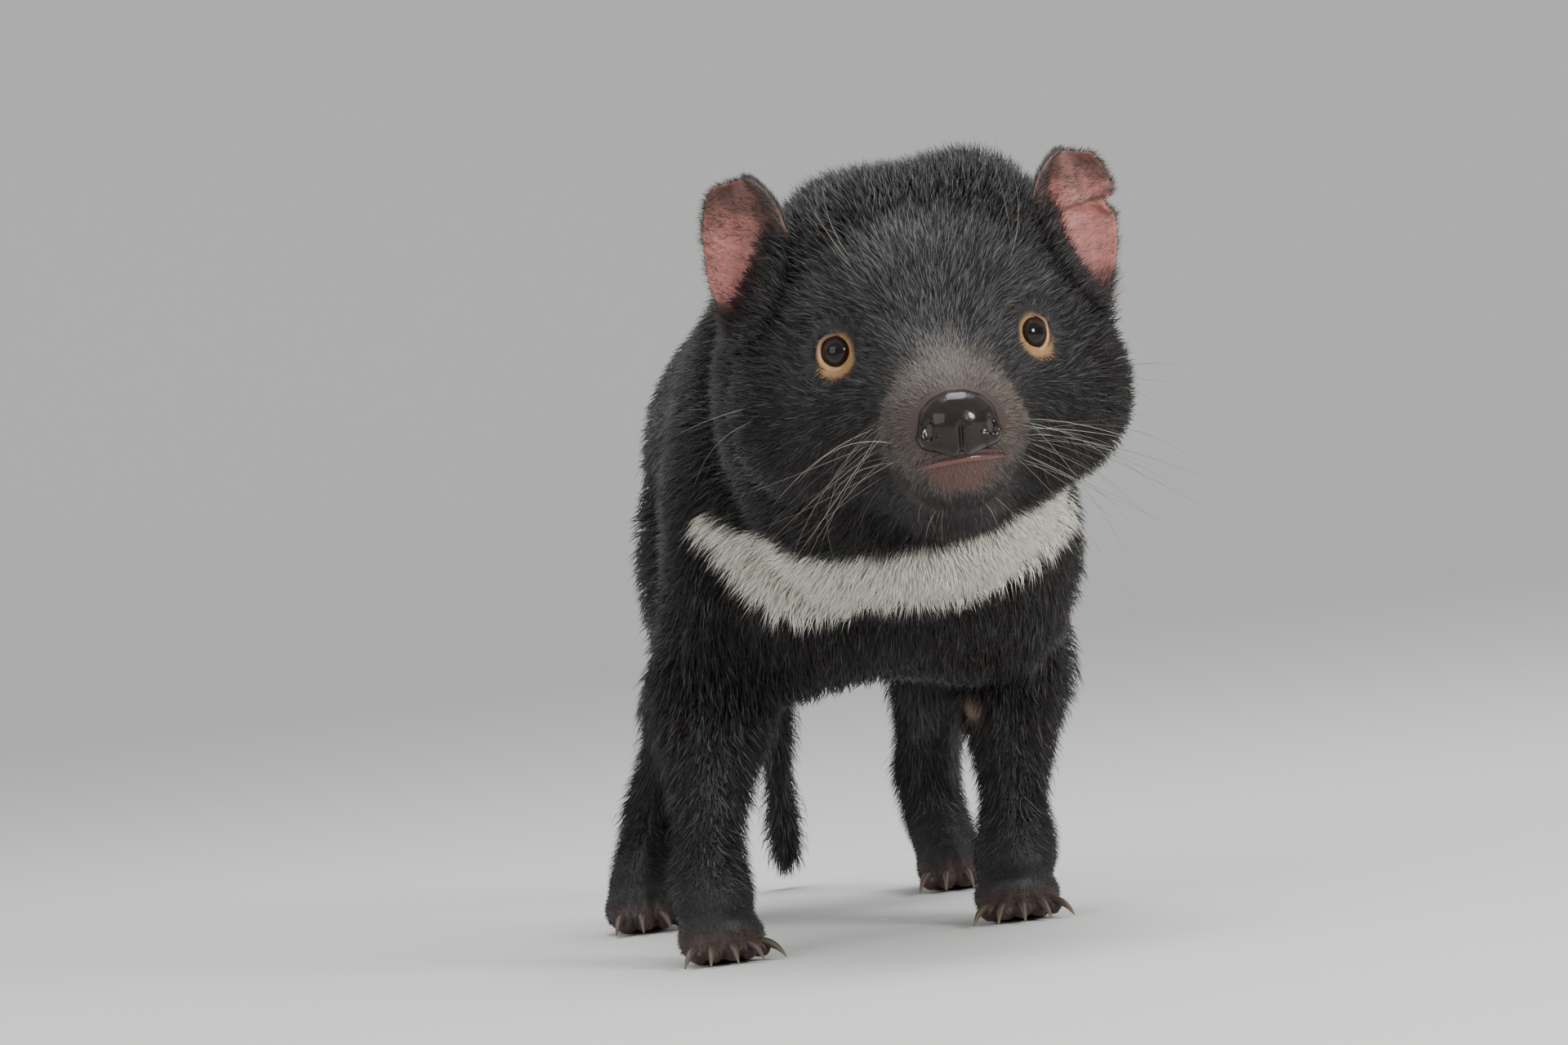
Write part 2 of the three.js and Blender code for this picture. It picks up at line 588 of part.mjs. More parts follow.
const FORE_STEP = { right: -20, left: 18 }; // the right forefoot is set ahead of the left
const FORE_FOOT = { right: -50, left: 50 };
const ELBOW = { right: -41, left: 59 };
const forelegRooms = [];
for (const [name, side] of Object.entries(SIDES)) {
  const step = FORE_STEP[name];
  const foot = FORE_FOOT[name];
  const shoulder = vec(CHEST_SWAY + side * 39, -102 + step * 0.2, 122);
  const elbow = vec(ELBOW[name], -76 + step * 0.6, 84);
  const wrist = vec(foot + side * 2 + 1, -92 + step, 24);
  const knuckles = vec(foot, -101 + step, 11);
  const muscle = egg(elbow.clone().add(vec(0, 6, -6)), vec(19, 21, 24));
  const legOf = (grow) => limb([shoulder, elbow, wrist, knuckles], [30, 21.5, 12, 11], muscle, 12, grow);
  const leg = legOf(0);
  forelegRooms.push(legOf(GAP));
  const trimmed = cut(leg, [torsoRoom, FLOOR_CUT]);
  const [upper, below] = part(trimmed, elbow.clone().add(vec(0, 0, -15)), vec(0, -0.25, -1));
  const [forearm, end] = part(below, wrist.clone().add(vec(0, 0, -4)), vec(0, -0.1, -1));
  addNode(`upper_foreleg_${name}`, upper, COAT);
  addNode(`forearm_${name}`, forearm, COAT);
  const pawCentre = vec(foot, -104 + step, 8);
  const toes = toesOf(pawCentre, side, { count: 5, reach: 18, spread: 76, radius: 3.8 });
  const paw = pawSolid(pawCentre, vec(14, 14.5, 10.5), toes, end);
  addFoot("fore", name, paw, toes, beyond(wrist.clone().add(vec(0, 0, -4 - GAP / 2)), vec(0, 0.1, 1)));
}

const fringeRooms = [breast(GAP), inStance(wrapHead(GAP)), ...forelegRooms];
const fringed = join([cut(blaze, [inStance(wrapHead(GAP))]), cut(join(blazeFringe()), fringeRooms)]);
addNode("chest_blaze", fringed, WHITE_COAT);

const HIND_STEP = { right: -18, left: 18 };
const KNEE = { right: -25, left: 57 };
const HOCK = { right: -45, left: 54 };
for (const [name, side] of Object.entries(SIDES)) {
  const step = HIND_STEP[name];
  const foot = side * HIND_HALF_STANCE;
  const hip = vec(HIP_SWAY + side * 26, 98 + step * 0.2, 146);
  const knee = vec(KNEE[name], 74 + step * 0.6, 94);
  const hock = vec(HOCK[name], 142 + step, 40);
  const knuckles = vec(foot, 117 + step, 11);
  const ham = egg(vec(KNEE[name] + side, 100 + step * 0.4, 116), vec(20, 38, 40));
  const calf = egg(knee.clone().lerp(hock, 0.35), vec(15, 21, 21));
  const upperLeg = limb([hip, knee], [26, 21], ham, 8);
  const lowerLeg = limb([knee, hock, knuckles], [20, 13, 11], calf, 10);
  const trimmed = cut(join([upperLeg, lowerLeg]), [torsoRoom, FLOOR_CUT]);
  const stifle = { at: knee.clone().add(vec(0, 16, -16)), axis: vec(0, 0.35, -0.94) };
  const [thigh, below] = part(trimmed, stifle.at, stifle.axis);
  const ankle = { at: hock.clone().add(vec(0, -6, -9)), axis: vec(0, -0.5, -1) };
  const [shank, end] = part(below, ankle.at, ankle.axis);
  addNode(`thigh_${name}`, thigh, COAT);
  addNode(`shank_${name}`, shank, COAT);
  const pawCentre = vec(foot, 111 + step, 8);
  const toes = toesOf(pawCentre, side, { count: 4, reach: 21, spread: 56, radius: 4.2 });
  const paw = pawSolid(pawCentre, vec(12.5, 18, 10), toes, end);
  const sole = ankle.at.clone().addScaledVector(ankle.axis.clone().normalize(), GAP / 2);
  addFoot("hind", name, paw, toes, beyond(sole, ankle.axis.clone().negate()));
}

// Tail, drooping to just above the floor
const TAIL_LINE = [
  vec(HIP_SWAY, 128, 168),
  vec(HIP_SWAY, 168, 156),
  vec(9, 204, 118),
  vec(10, 231, 62),
  vec(11, 250, 6),
];
const TAIL_ROOT_RADIUS = 25;
const TAIL_TIP_RADIUS = 8;
const tailRadius = (t) => lerp(TAIL_ROOT_RADIUS, TAIL_TIP_RADIUS, t ** 0.85);
function tailSolid() {
  const curve = new THREE.CatmullRomCurve3(TAIL_LINE);
  const rings = 16;
  const sides = 14;
  const ringAt = (t, shrink) => {
    const along = curve.getTangentAt(t);
    const across = vec(1, 0, 0).cross(along).normalize();
    const other = along.clone().cross(across);
    return Array.from({ length: sides }, (_, i) => {
      const turn = (2 * Math.PI * i) / sides;
      const p = curve.getPointAt(t).addScaledVector(across, Math.cos(turn) * tailRadius(t) * shrink);
      return p.addScaledVector(other, Math.sin(turn) * tailRadius(t) * shrink);
    });
  };
  const stack = Array.from({ length: rings + 1 }, (_, i) => ringAt((0.965 * i) / rings, 1));
  stack.push(ringAt(0.985, 0.82), ringAt(0.995, 0.5));
  return solidOf(skinRings(stack, curve.getPointAt(0), curve.getPointAt(1)));
}
addNode("tail", cut(tailSolid(), [torsoRoom]), COAT);

// The origin is under the middle of the whole animal, on the floor
devil.updateMatrixWorld(true);
const reach = new THREE.Box3().setFromObject(devil, true);
const middle = reach.getCenter(vec(0, 0, 0));
stance.position.set(-middle.x, -middle.y, -reach.min.z);

export default devil;
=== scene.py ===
"""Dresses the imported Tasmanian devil: one skin, its fur, eyes, lids, nose, lips, ears, claws and whiskers.

Metres. The animal faces -Y, its left side is +X and +Z is up. Names that end in _mm or _MM hold
millimetres, which MM turns into metres.
"""
import math

import bpy
import numpy as np
import openvdb as vdb
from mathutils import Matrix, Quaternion, Vector
from mathutils.bvhtree import BVHTree


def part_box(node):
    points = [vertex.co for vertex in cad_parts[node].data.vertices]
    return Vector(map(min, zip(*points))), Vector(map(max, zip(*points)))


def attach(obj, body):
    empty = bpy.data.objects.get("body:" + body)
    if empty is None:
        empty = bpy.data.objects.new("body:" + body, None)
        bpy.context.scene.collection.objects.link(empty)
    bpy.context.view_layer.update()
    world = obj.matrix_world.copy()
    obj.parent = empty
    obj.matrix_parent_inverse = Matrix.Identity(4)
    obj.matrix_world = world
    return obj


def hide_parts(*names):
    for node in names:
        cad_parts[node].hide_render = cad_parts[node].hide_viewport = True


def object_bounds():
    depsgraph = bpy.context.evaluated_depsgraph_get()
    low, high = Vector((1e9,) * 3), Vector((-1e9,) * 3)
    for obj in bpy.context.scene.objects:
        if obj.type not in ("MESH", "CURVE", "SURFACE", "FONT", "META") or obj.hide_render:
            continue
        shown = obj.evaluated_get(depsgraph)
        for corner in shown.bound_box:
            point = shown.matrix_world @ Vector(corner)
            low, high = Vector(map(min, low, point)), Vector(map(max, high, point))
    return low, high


MM = 0.001
SEED = 7

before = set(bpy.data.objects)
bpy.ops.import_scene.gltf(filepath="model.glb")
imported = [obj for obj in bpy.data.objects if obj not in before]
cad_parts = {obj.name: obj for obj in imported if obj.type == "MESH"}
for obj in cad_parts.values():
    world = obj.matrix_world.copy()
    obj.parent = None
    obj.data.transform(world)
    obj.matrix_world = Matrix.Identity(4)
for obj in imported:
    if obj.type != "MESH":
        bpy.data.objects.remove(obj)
cad_low, cad_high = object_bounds()
rng = np.random.default_rng(SEED)


def vec(*values):
    return np.array(values, float)


def vary(count, least, span):
    """Random factors from the least upward."""
    return least + span * rng.random(count)


# Landmarks from the frame
SIDES = ("right", "left")
TOWARDS = {"right": -1, "left": 1}  # each side's direction along x


def on_both_sides(*parts):
    return [f"{part}_{side}" for part in parts for side in SIDES]


LEGS = on_both_sides("upper_foreleg", "forearm", "thigh", "shank")
PAWS = on_both_sides("forepaw", "hindpaw")
FLESH = ["head", "lower_jaw", "neck", "torso", "chest_blaze", "tail", *LEGS, *PAWS]
CLAWS = [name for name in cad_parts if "claw_" in name]


def box_of(name):
    """A node's lowest and highest corner."""
    low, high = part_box(name)
    return np.array(low), np.array(high)


def centre_of(name):
    low, high = box_of(name)
    return (low + high) / 2


def size_of(name):
    low, high = box_of(name)
    return high - low


EYES = {side: centre_of(f"eye_{side}") for side in SIDES}
EYE_RADIUS = size_of("eye_right").min() / 2
BETWEEN_EYES = (EYES["right"] + EYES["left"]) / 2
NOSE = centre_of("nose")
NOSE_SIZE = size_of("nose")
TAIL_LOW, TAIL_HIGH = box_of("tail")
across = EYES["left"] - EYES["right"]
HEAD_X = across / np.linalg.norm(across)
PITCH = math.radians(5)  # how far the head's back axis dips
HEAD_Y = vec(-HEAD_X[1], HEAD_X[0], 0.0)
HEAD_Y = HEAD_Y / np.linalg.norm(HEAD_Y) * math.cos(PITCH) - vec(0, 0, math.sin(PITCH))
HEAD_Z = np.cross(HEAD_X, HEAD_Y)


def in_head(points):
    """Points as (across to the left, back, up) from between the eyes."""
    offset = points - BETWEEN_EYES
    return np.stack([offset @ HEAD_X, offset @ HEAD_Y, offset @ HEAD_Z], axis=-1)


def from_head(x, y, z):
    """The place that is so many millimetres across, back and up from between the eyes."""
    return BETWEEN_EYES + HEAD_X * x * MM + HEAD_Y * y * MM + HEAD_Z * z * MM


# Small helpers
def ramp(value, low, high):
    """0 up to the low value, 1 from the high one, smooth between them."""
    t = np.clip((value - low) / (high - low), 0, 1)
    return t * t * (3 - 2 * t)


def mix(first, second, share):
    """The first where the share is 0, the second where it is 1."""
    return first * (1 - share) + np.asarray(second) * share


def unit(v):
    return v / np.maximum(np.linalg.norm(v, axis=-1, keepdims=True), 1e-12)


def along_skin(directions, normals):
    """Directions laid down along the skin."""
    return unit(directions - np.einsum("ij,ij->i", directions, normals)[:, None] * normals)


def vectors_of(items, key):
    values = np.empty(len(items) * 3, np.float32)
    items.foreach_get(key, values)
    return values.reshape(-1, 3)


def corners_of(mesh):
    """The corners of a mesh's triangles."""
    mesh.calc_loop_triangles()
    corners = np.empty(len(mesh.loop_triangles) * 3, np.int32)
    mesh.loop_triangles.foreach_get("vertices", corners)
    return corners.reshape(-1, 3)


def triangles_of(name):
    """A node's points and triangles."""
    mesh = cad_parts[name].data
    return vectors_of(mesh.vertices, "co"), corners_of(mesh)


def gathered(names):
    points, corners, count = [], [], 0
    for name in names:
        own_points, own_corners = triangles_of(name)
        points.append(own_points)
        corners.append(own_corners + count)
        count += len(own_points)
    return np.concatenate(points), np.concatenate(corners)


BLUR_REACH = 2.5  # in sigmas


def soften(values, sigma):
    """A Gaussian blur, sigma in voxels, cut off where it has run out."""
    reach = max(1, int(round(BLUR_REACH * sigma)))
    weights = np.exp(-0.5 * (np.arange(-reach, reach + 1) / sigma) ** 2)
    weights /= weights.sum()
    for axis in range(3):
        total = weights[reach] * values
        for step in range(1, reach + 1):
            weight = weights[reach + step]
            total += weight * (np.roll(values, step, axis) + np.roll(values, -step, axis))
        values = total
    return values


class Field:
    """Distance to the surface of some nodes on a dense grid, negative inside, with seams closed."""

    def __init__(self, names, voxel, seal, band):
        points, corners = gathered(names)
        transform = vdb.createLinearTransform(voxel)
        grid = vdb.FloatGrid.createLevelSetFromPolygons(
            points, triangles=corners, transform=transform, halfWidth=seal / voxel + 2
        )
        points, corners, quads = grid.convertToPolygons(isovalue=seal)
        grid = vdb.FloatGrid.createLevelSetFromPolygons(
            points, triangles=corners, quads=quads, transform=transform, halfWidth=band / voxel
        )
        self.voxel = voxel
        self.start = np.floor(points.min(axis=0) / voxel).astype(int) - 4
        stop = np.ceil(points.max(axis=0) / voxel).astype(int) + 5
        self.values = np.full(stop - self.start, band, np.float32)
        grid.copyToArray(self.values, ijk=tuple(int(i) for i in self.start))
        self.values += seal

    def axes(self):
        """The grid's x, y and z as arrays that broadcast against its values."""
        x, y, z = ((self.start[i] + np.arange(self.values.shape[i])) * self.voxel for i in range(3))
        return x[:, None, None], y[None, :, None], z[None, None, :]

    def mesh(self):
        """The points, triangles and quads of its surface."""
        grid = vdb.FloatGrid(background=float(self.values.max()))
        grid.copyFromArray(self.values.astype(np.float32), ijk=tuple(int(i) for i in self.start))
        grid.transform = vdb.createLinearTransform(self.voxel)
        return grid.convertToPolygons(isovalue=0)


def add_object(name, data):
    obj = bpy.data.objects.new(name, data)
    bpy.context.scene.collection.objects.link(obj)
    return obj


def object_from(name, points, *faces):
    """A mesh object from arrays. Each array of faces has its own number of corners."""
    groups = [np.asarray(group, np.int32) for group in faces if len(group)]
    corners = np.concatenate([group.ravel() for group in groups])
    sizes = np.concatenate([np.full(len(group), group.shape[1]) for group in groups])
    mesh = bpy.data.meshes.new(name)
    mesh.vertices.add(len(points))
    mesh.vertices.foreach_set("co", np.asarray(points, np.float32).ravel())
    mesh.loops.add(len(corners))
    mesh.loops.foreach_set("vertex_index", corners)
    mesh.polygons.add(len(sizes))
    starts = np.concatenate([[0], np.cumsum(sizes)[:-1]])
    mesh.polygons.foreach_set("loop_start", starts.astype(np.int32))
    mesh.polygons.foreach_set("use_smooth", np.full(len(sizes), True))
    mesh.update(calc_edges=True)
    return add_object(name, mesh)


def paint(obj, colours):
    """A colour for every vertex, read by the materials as the attribute Coat."""
    layer = obj.data.color_attributes.new("Coat", "FLOAT_COLOR", "POINT")
    rgba = np.ones((len(obj.data.vertices), 4), np.float32)
    rgba[:, :3] = colours
    layer.data.foreach_set("color", rgba.ravel())


def points_of(obj):
    return vectors_of(obj.data.vertices, "co").astype(float)


def set_points(obj, points):
    obj.data.vertices.foreach_set("co", np.asarray(points, np.float32).ravel())
    obj.data.update()


def normals_of(obj):
    return vectors_of(obj.data.vertex_normals, "vector").astype(float)


def surface_of(name, form):
    """The surface of a field as an object, with its faces turned outward."""
    obj = object_from(name, *form.mesh())
    points = points_of(obj)
    if np.einsum("ij,ij->", points - points.mean(axis=0), normals_of(obj)) < 0:
        obj.data.flip_normals()
    return obj


def finish_piece(obj, mat, slot, *nodes):
    obj.data.materials.append(mat)
    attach(obj, "root")
    if nodes:
        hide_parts(*nodes)


# Materials
def material(name, roughness, specular=0.5, colour=None):
    """A material of one colour or, where none is given, of the colours painted on the mesh."""
    mat = bpy.data.materials.new(name)
    mat.use_nodes = True
    shader = mat.node_tree.nodes["Principled BSDF"]
    shader.inputs["Roughness"].default_value = roughness
    shader.inputs["Specular IOR Level"].default_value = specular
    if colour is None:
        source = mat.node_tree.nodes.new("ShaderNodeVertexColor")
        source.layer_name = "Coat"
        mat.node_tree.links.new(source.outputs["Color"], shader.inputs["Base Color"])
    else:
        shader.inputs["Base Color"].default_value = (*colour, 1)
    return mat


def add_bump(mat, scale, strength, height_mm, cells=False):
    """Adds a fine relief of noise or of rounded cells."""
    nodes, links = mat.node_tree.nodes, mat.node_tree.links
    where = nodes.new("ShaderNodeTexCoord")
    if cells:
        pattern = nodes.new("ShaderNodeTexVoronoi")
        pattern.feature = "SMOOTH_F1"
        height = pattern.outputs["Distance"]
    else:
        pattern = nodes.new("ShaderNodeTexNoise")
        pattern.inputs["Detail"].default_value = 3.0
        height = pattern.outputs["Fac"]
    pattern.inputs["Scale"].default_value = scale
    bump = nodes.new("ShaderNodeBump")
    bump.inputs["Strength"].default_value = strength
    bump.inputs["Distance"].default_value = height_mm * MM
    links.new(where.outputs["Object"], pattern.inputs["Vector"])
    links.new(height, bump.inputs["Height"])
    links.new(bump.outputs["Normal"], nodes["Principled BSDF"].inputs["Normal"])
    return mat


# Each bump has a scale, a strength and a height in millimetres
FUR = material("fur", 0.4, specular=0.38)
SKIN = add_bump(material("skin", 0.6), 900, 0.5, 0.3)
NOSE_SKIN = add_bump(material("nose_skin", 0.17, specular=0.35), 1500, 0.25, 0.12, cells=True)
EAR_SKIN = add_bump(material("ear_skin", 0.5), 500, 0.4, 0.4)
EYE = material("eye", 0.04, specular=0.32)
LID = add_bump(material("lid_skin", 0.38), 1200, 0.4, 0.2)
LIP = add_bump(material("lip_skin", 0.2), 1400, 0.4, 0.2)
CLAW = add_bump(material("claw_horn", 0.35), 900, 0.3, 0.15)
WHISKER = material("whisker", 0.3)

# Colours and coat, by place
BLACK = vec(0.0085, 0.0075, 0.0078)
# The grey of painted glints on hair tips
GLINT_GREY = vec(0.2, 0.198, 0.2)
BROWN = vec(0.09, 0.062, 0.047)
MUZZLE = vec(0.2, 0.165, 0.14)
MUZZLE_SKIN = vec(0.055, 0.034, 0.028)
CHIN = vec(0.2, 0.14, 0.115)
CHIN_SKIN = vec(0.072, 0.033, 0.026)
CREAM = vec(0.6, 0.34, 0.145)
RIM_OUTER = vec(0.16, 0.085, 0.045)
WHITE = vec(0.86, 0.83, 0.74)
PINK = vec(0.4, 0.145, 0.125)
EAR_TOP = vec(0.12, 0.062, 0.052)
EAR_HAIR = vec(0.16, 0.12, 0.1)
BARE = vec(0.045, 0.025, 0.021)
PUPIL = vec(0.0025, 0.0025, 0.003)
IRIS = vec(0.022, 0.011, 0.006)
EYE_WHITE = vec(0.06, 0.035, 0.025)
LID_EDGE = vec(0.05, 0.022, 0.016)
CARUNCLE = vec(0.42, 0.14, 0.1)
NOSE_TONE = vec(0.015, 0.0085, 0.0075)
# Painted shade in the nostrils and the nose's groove
NOSTRIL_SHADE = vec(0.006, 0.003, 0.003)
LIP_TONE = vec(0.14, 0.052, 0.043)
# Painted shade in the slit between the lips
SLIT_SHADE = vec(0.02, 0.006, 0.006)
# Painted shade of a hole in the left ear
EAR_HOLE_SHADE = vec(0.05, 0.01, 0.01)
WHISKER_TONE = vec(0.55, 0.5, 0.44)
CLAW_TONE = vec(0.085, 0.062, 0.045)
SPOT_TONE = vec(0.3, 0.185, 0.115)
FLOOR_TONE = (0.74, 0.73, 0.71)

# Where the crown's standing hair starts and ends: up and back from between the eyes
CROWN_UP, CROWN_START, CROWN_END = (0.022, 0.042), (-0.004, 0.018), (0.07, 0.1)
TAIL_COAT_MM, CROWN_LOSS_MM = 4.5, 2.0


def crown_share(_, y, z):
    """1 on top of the head, where the hair stands up, falling to 0 on the face, cheeks and neck."""
    eye_y, eye_z = BETWEEN_EYES[1], BETWEEN_EYES[2]
    high = ramp(z, eye_z + CROWN_UP[0], eye_z + CROWN_UP[1])
    behind = ramp(y, eye_y + CROWN_START[0], eye_y + CROWN_START[1])
    before = 1 - ramp(y, eye_y + CROWN_END[0], eye_y + CROWN_END[1])
    return high * behind * before


def nose_distance(x, y, z):
    return np.sqrt((x - NOSE[0]) ** 2 + (y - NOSE[1]) ** 2 + (z - NOSE[2]) ** 2)


def coat_mm(x, y, z):
    """How deep the coat is, in millimetres, on broadcasting arrays."""
    away = nose_distance(x, y, z)
    face = 0.8 + 1.7 * ramp(away, 0.02, 0.05) + 3.0 * ramp(away, 0.06, 0.105)
    face = face - CROWN_LOSS_MM * crown_share(x, y, z)
    head_or_body = face + 1.6 * ramp(y, BETWEEN_EYES[1] + 0.06, BETWEEN_EYES[1] + 0.11)
    leg = 0.3 + 3.6 * ramp(z, 0.017, 0.038)
    depth = mix(head_or_body, leg, 1 - ramp(z, 0.06, 0.1))
    return mix(depth, TAIL_COAT_MM, ramp(y, TAIL_LOW[1] + 0.01, TAIL_LOW[1] + 0.04))


TOE_HEIGHTS, TOE_GAIN_MM = (0.008, 0.017), 0.7
EAR_ROOT_LOSS = 0.85


def coat_depth(x, y, z):
    """How far the skin lies inside the outline of the solids, in metres.

    That is the coat's depth, less round the roots of the ears. In the toes and soles it is about
    0.4 mm below zero, so the skin lies outside the solids there and makes up for its rounding.
    """
    toes = 1 - ramp(z, *TOE_HEIGHTS)
    return (coat_mm(x, y, z) * (1 - EAR_ROOT_LOSS * ear_share(x, y, z)) - TOE_GAIN_MM * toes) * MM


def ear_share(x, y, z):
    """1 round the root of each ear, where the skin runs out into the ear."""
    share = 0.0
    for side in SIDES:
        middle, size = centre_of(f"ear_{side}"), size_of(f"ear_{side}")
        reach = ((x - middle[0]) / (size[0] * 0.75)) ** 2 + ((y - middle[1]) / (size[1] * 0.95)) ** 2
        reach = reach + ((z - middle[2] + 0.004) / (size[2] * 0.56)) ** 2
        share = np.maximum(share, 1 - ramp(np.sqrt(reach), 0.7, 1.0))
    return share


def eye_plane(points, side):
    """Millimetres from the eye's axis, above its centre and out along the gaze."""
    offset = (points - EYES[side]) / MM
    out, inward, up = eye_axes(side)
    a, b = offset @ inward, offset @ up
    return np.hypot(a, b), b, offset @ out


GAZE_ASIDE, GAZE_AHEAD, GAZE_UP = 0.38, 0.92, 0.06


def eye_axes(side):
    """Out along the gaze, towards the nose, and up."""
    out = unit(TOWARDS[side] * GAZE_ASIDE * HEAD_X - GAZE_AHEAD * HEAD_Y + GAZE_UP * HEAD_Z)
    up = unit(HEAD_Z - (HEAD_Z @ out) * out)
    inward = np.cross(up, out)
    if inward @ HEAD_X * TOWARDS[side] > 0:
        inward = -inward
    return out, inward, up


# Toes
CLAW_ROOT_BAND = 2.2 * MM  # the root is the part of a claw that is this near to its paw


def claw_line(name):
    """The root and the tip of a claw, and the middle of its paw."""
    middle = centre_of(name.replace("claw", "paw").rsplit("_", 1)[0])
    points = triangles_of(name)[0].astype(float)
    reach = np.linalg.norm((points - middle)[:, :2], axis=1)
    root = points[reach < reach.min() + CLAW_ROOT_BAND].mean(axis=0)
    return root, points[reach.argmax()], middle


def nearest_on(points, path):
    """Each point's distance from a broken line, and how far along the line, from 0 to 1, that is."""
    best = np.full(len(points), np.inf)
    share = np.zeros(len(points))
    for i in range(len(path) - 1):
        a, b = path[i], path[i + 1]
        t = np.clip((points - a) @ (b - a) / ((b - a) @ (b - a)), 0, 1)
        gap = np.linalg.norm(points - a - t[:, None] * (b - a), axis=1)
        share = np.where(gap < best, (i + t) / (len(path) - 1), share)
        best = np.minimum(best, gap)
    return best, share


TOE_LENGTH = 13 * MM
GROOVE_DEPTH, GROOVE_WIDTH = 1.7 * MM, 1.5 * MM
GROOVE_REACH = (0.006, 0.009)  # from a toe's line, where the grooves run out
PAW_MARGIN = 0.004


def part_toes(form):
    """Presses grooves between the toes into the field of the skin."""
    x, y, z = form.axes()
    for paw in PAWS:
        low, high = box_of(paw)
        first_cells = ((low - PAW_MARGIN) / form.voxel).astype(int) - form.start
        last_cells = ((high + PAW_MARGIN) / form.voxel).astype(int) - form.start
        span = [slice(max(0, a), b + 1) for a, b in zip(first_cells, last_cells)]
        parts = np.broadcast_arrays(x[span[0]], y[:, span[1]], z[:, :, span[2]])
        grid = np.stack([part.ravel() for part in parts], axis=1)
        gaps = []
        for name in CLAWS:
            if name.replace("claw", "paw").startswith(paw):
                root, tip, middle = claw_line(name)
                back = unit((middle - root) * vec(1, 1, 0))
                gaps.append(nearest_on(grid, [tip, root + back * TOE_LENGTH])[0])
        first, second = np.sort(gaps, axis=0)[:2]
        groove = np.exp(-(((second - first) / GROOVE_WIDTH) ** 2)) * (1 - ramp(first, *GROOVE_REACH))
        form.values[tuple(span)] += (groove * GROOVE_DEPTH).reshape(parts[0].shape)


# Skin
VOXEL, SEAL, BAND = 1.5 * MM, 1.6 * MM, 16 * MM
FINE_BLUR, BROAD_BLUR = 0.9, 2.4  # in voxels
FACE_REACH, FACE_FINE = (0.045, 0.085), 0.75  # how far from the nose, and how much, stays fine
FOOT_HEIGHTS = (0.022, 0.045)

body = Field(FLESH + ["eye_right", "eye_left", "nose"], VOXEL, SEAL, BAND)
x, y, z = body.axes()
fine = soften(body.values, FINE_BLUR)
broad = soften(fine, BROAD_BLUR)
near_face = 1 - ramp(nose_distance(x, y, z), *FACE_REACH)
keep_fine = np.maximum(near_face * FACE_FINE, 1 - ramp(z, *FOOT_HEIGHTS))
body.values = mix(broad, fine, keep_fine) + coat_depth(x, y, z)
part_toes(body)
skin = surface_of("skin", body)
skin.data.materials.append(SKIN)
skin_points, skin_normals, skin_corners = points_of(skin), normals_of(skin), corners_of(skin.data)
skin_tree = BVHTree.FromPolygons(skin_points.tolist(), skin_corners.tolist())


def skin_hit(start, through):
    """Where a line from one point through another meets the skin, or None."""
    hit = skin_tree.ray_cast(Vector(start), Vector(through - start))[0]
    return None if hit is None else np.array(hit)


# The blaze is where the CAD's crescent shows through the coat
blaze_points, blaze_corners = triangles_of("chest_blaze")
blaze_tree = BVHTree.FromPolygons(blaze_points.tolist(), blaze_corners.tolist())
BLAZE_SINK, BLAZE_REACH = 0.002, 0.02  # where the line starts under the skin, and its length


def beside_blaze(points, margin):
    low, high = box_of("chest_blaze")
    return np.all((points > low - margin) & (points < high + margin), axis=1)


def in_blaze(points, normals):
    """True where a line out of the skin, along its normal, meets the crescent."""
    found = np.zeros(len(points), bool)
    for i in np.flatnonzero(beside_blaze(points, 0.012)):
        start = Vector(points[i]) - Vector(normals[i]) * BLAZE_SINK
        hit = blaze_tree.ray_cast(start, Vector(normals[i]), BLAZE_REACH)
        found[i] = hit[0] is not None
    return found


def waves(points, length_mm, phase):
    """A smooth pseudo-random field between about -1 and 1, with swells of the given length."""
    k = 2 * math.pi / (length_mm * MM)
    x, y, z = points[:, 0] * k, points[:, 1] * k, points[:, 2] * k
    swell = np.sin(x + 1.3 * np.sin(0.7 * y + phase)) + np.sin(y + 1.7 * np.sin(0.8 * z + 2 * phase))
    return (swell + np.sin(z + 1.1 * np.sin(0.9 * x + 3 * phase))) / 3


def pale_share(points):
    """How much of the short fur is pale: most beside the nose and up the bridge, least far from it."""
    head = in_head(points) / MM
    nose = in_head(NOSE[None])[0] / MM
    offset = head - nose
    offset[:, 2] = np.where(offset[:, 2] > 0, offset[:, 2] * 0.72, offset[:, 2] * 1.25)
    reach = np.linalg.norm(offset, axis=1) + 3 * waves(points, 9, 1.0)
    return (1 - ramp(reach, 17, 33)) * (head[:, 1] < 14)


CHIN_MIDDLE_MM, CHIN_HALF_MM = (0.0, -43.5), (10.5, 6.2)  # across and up in the head


def chin_share(points):
    """1 on the bare lower lip and the chin."""
    head = in_head(points) / MM
    across = (head[:, 0] - CHIN_MIDDLE_MM[0]) / CHIN_HALF_MM[0]
    up = (head[:, 2] - CHIN_MIDDLE_MM[1]) / CHIN_HALF_MM[1]
    reach = np.hypot(across, up) + 0.12 * waves(points, 6, 0.7)
    return (1 - ramp(reach, 0.65, 1.15)) * (head[:, 1] < -22)


SPOT_RADIUS = 4.5 * MM
SPOT_AHEAD = vec(0.0285, -0.3, 0.07)  # a place straight ahead of the spot
SPOT_PLACE = skin_hit(SPOT_AHEAD, SPOT_AHEAD + vec(0, 1, 0))


def spot_share(points):
    """1 on the small bare spot at the left elbow."""
    reach = np.linalg.norm(points - SPOT_PLACE, axis=1) / SPOT_RADIUS
    return 1 - ramp(reach + 0.2 * waves(points, 4, 0.9), 0.7, 1.5)


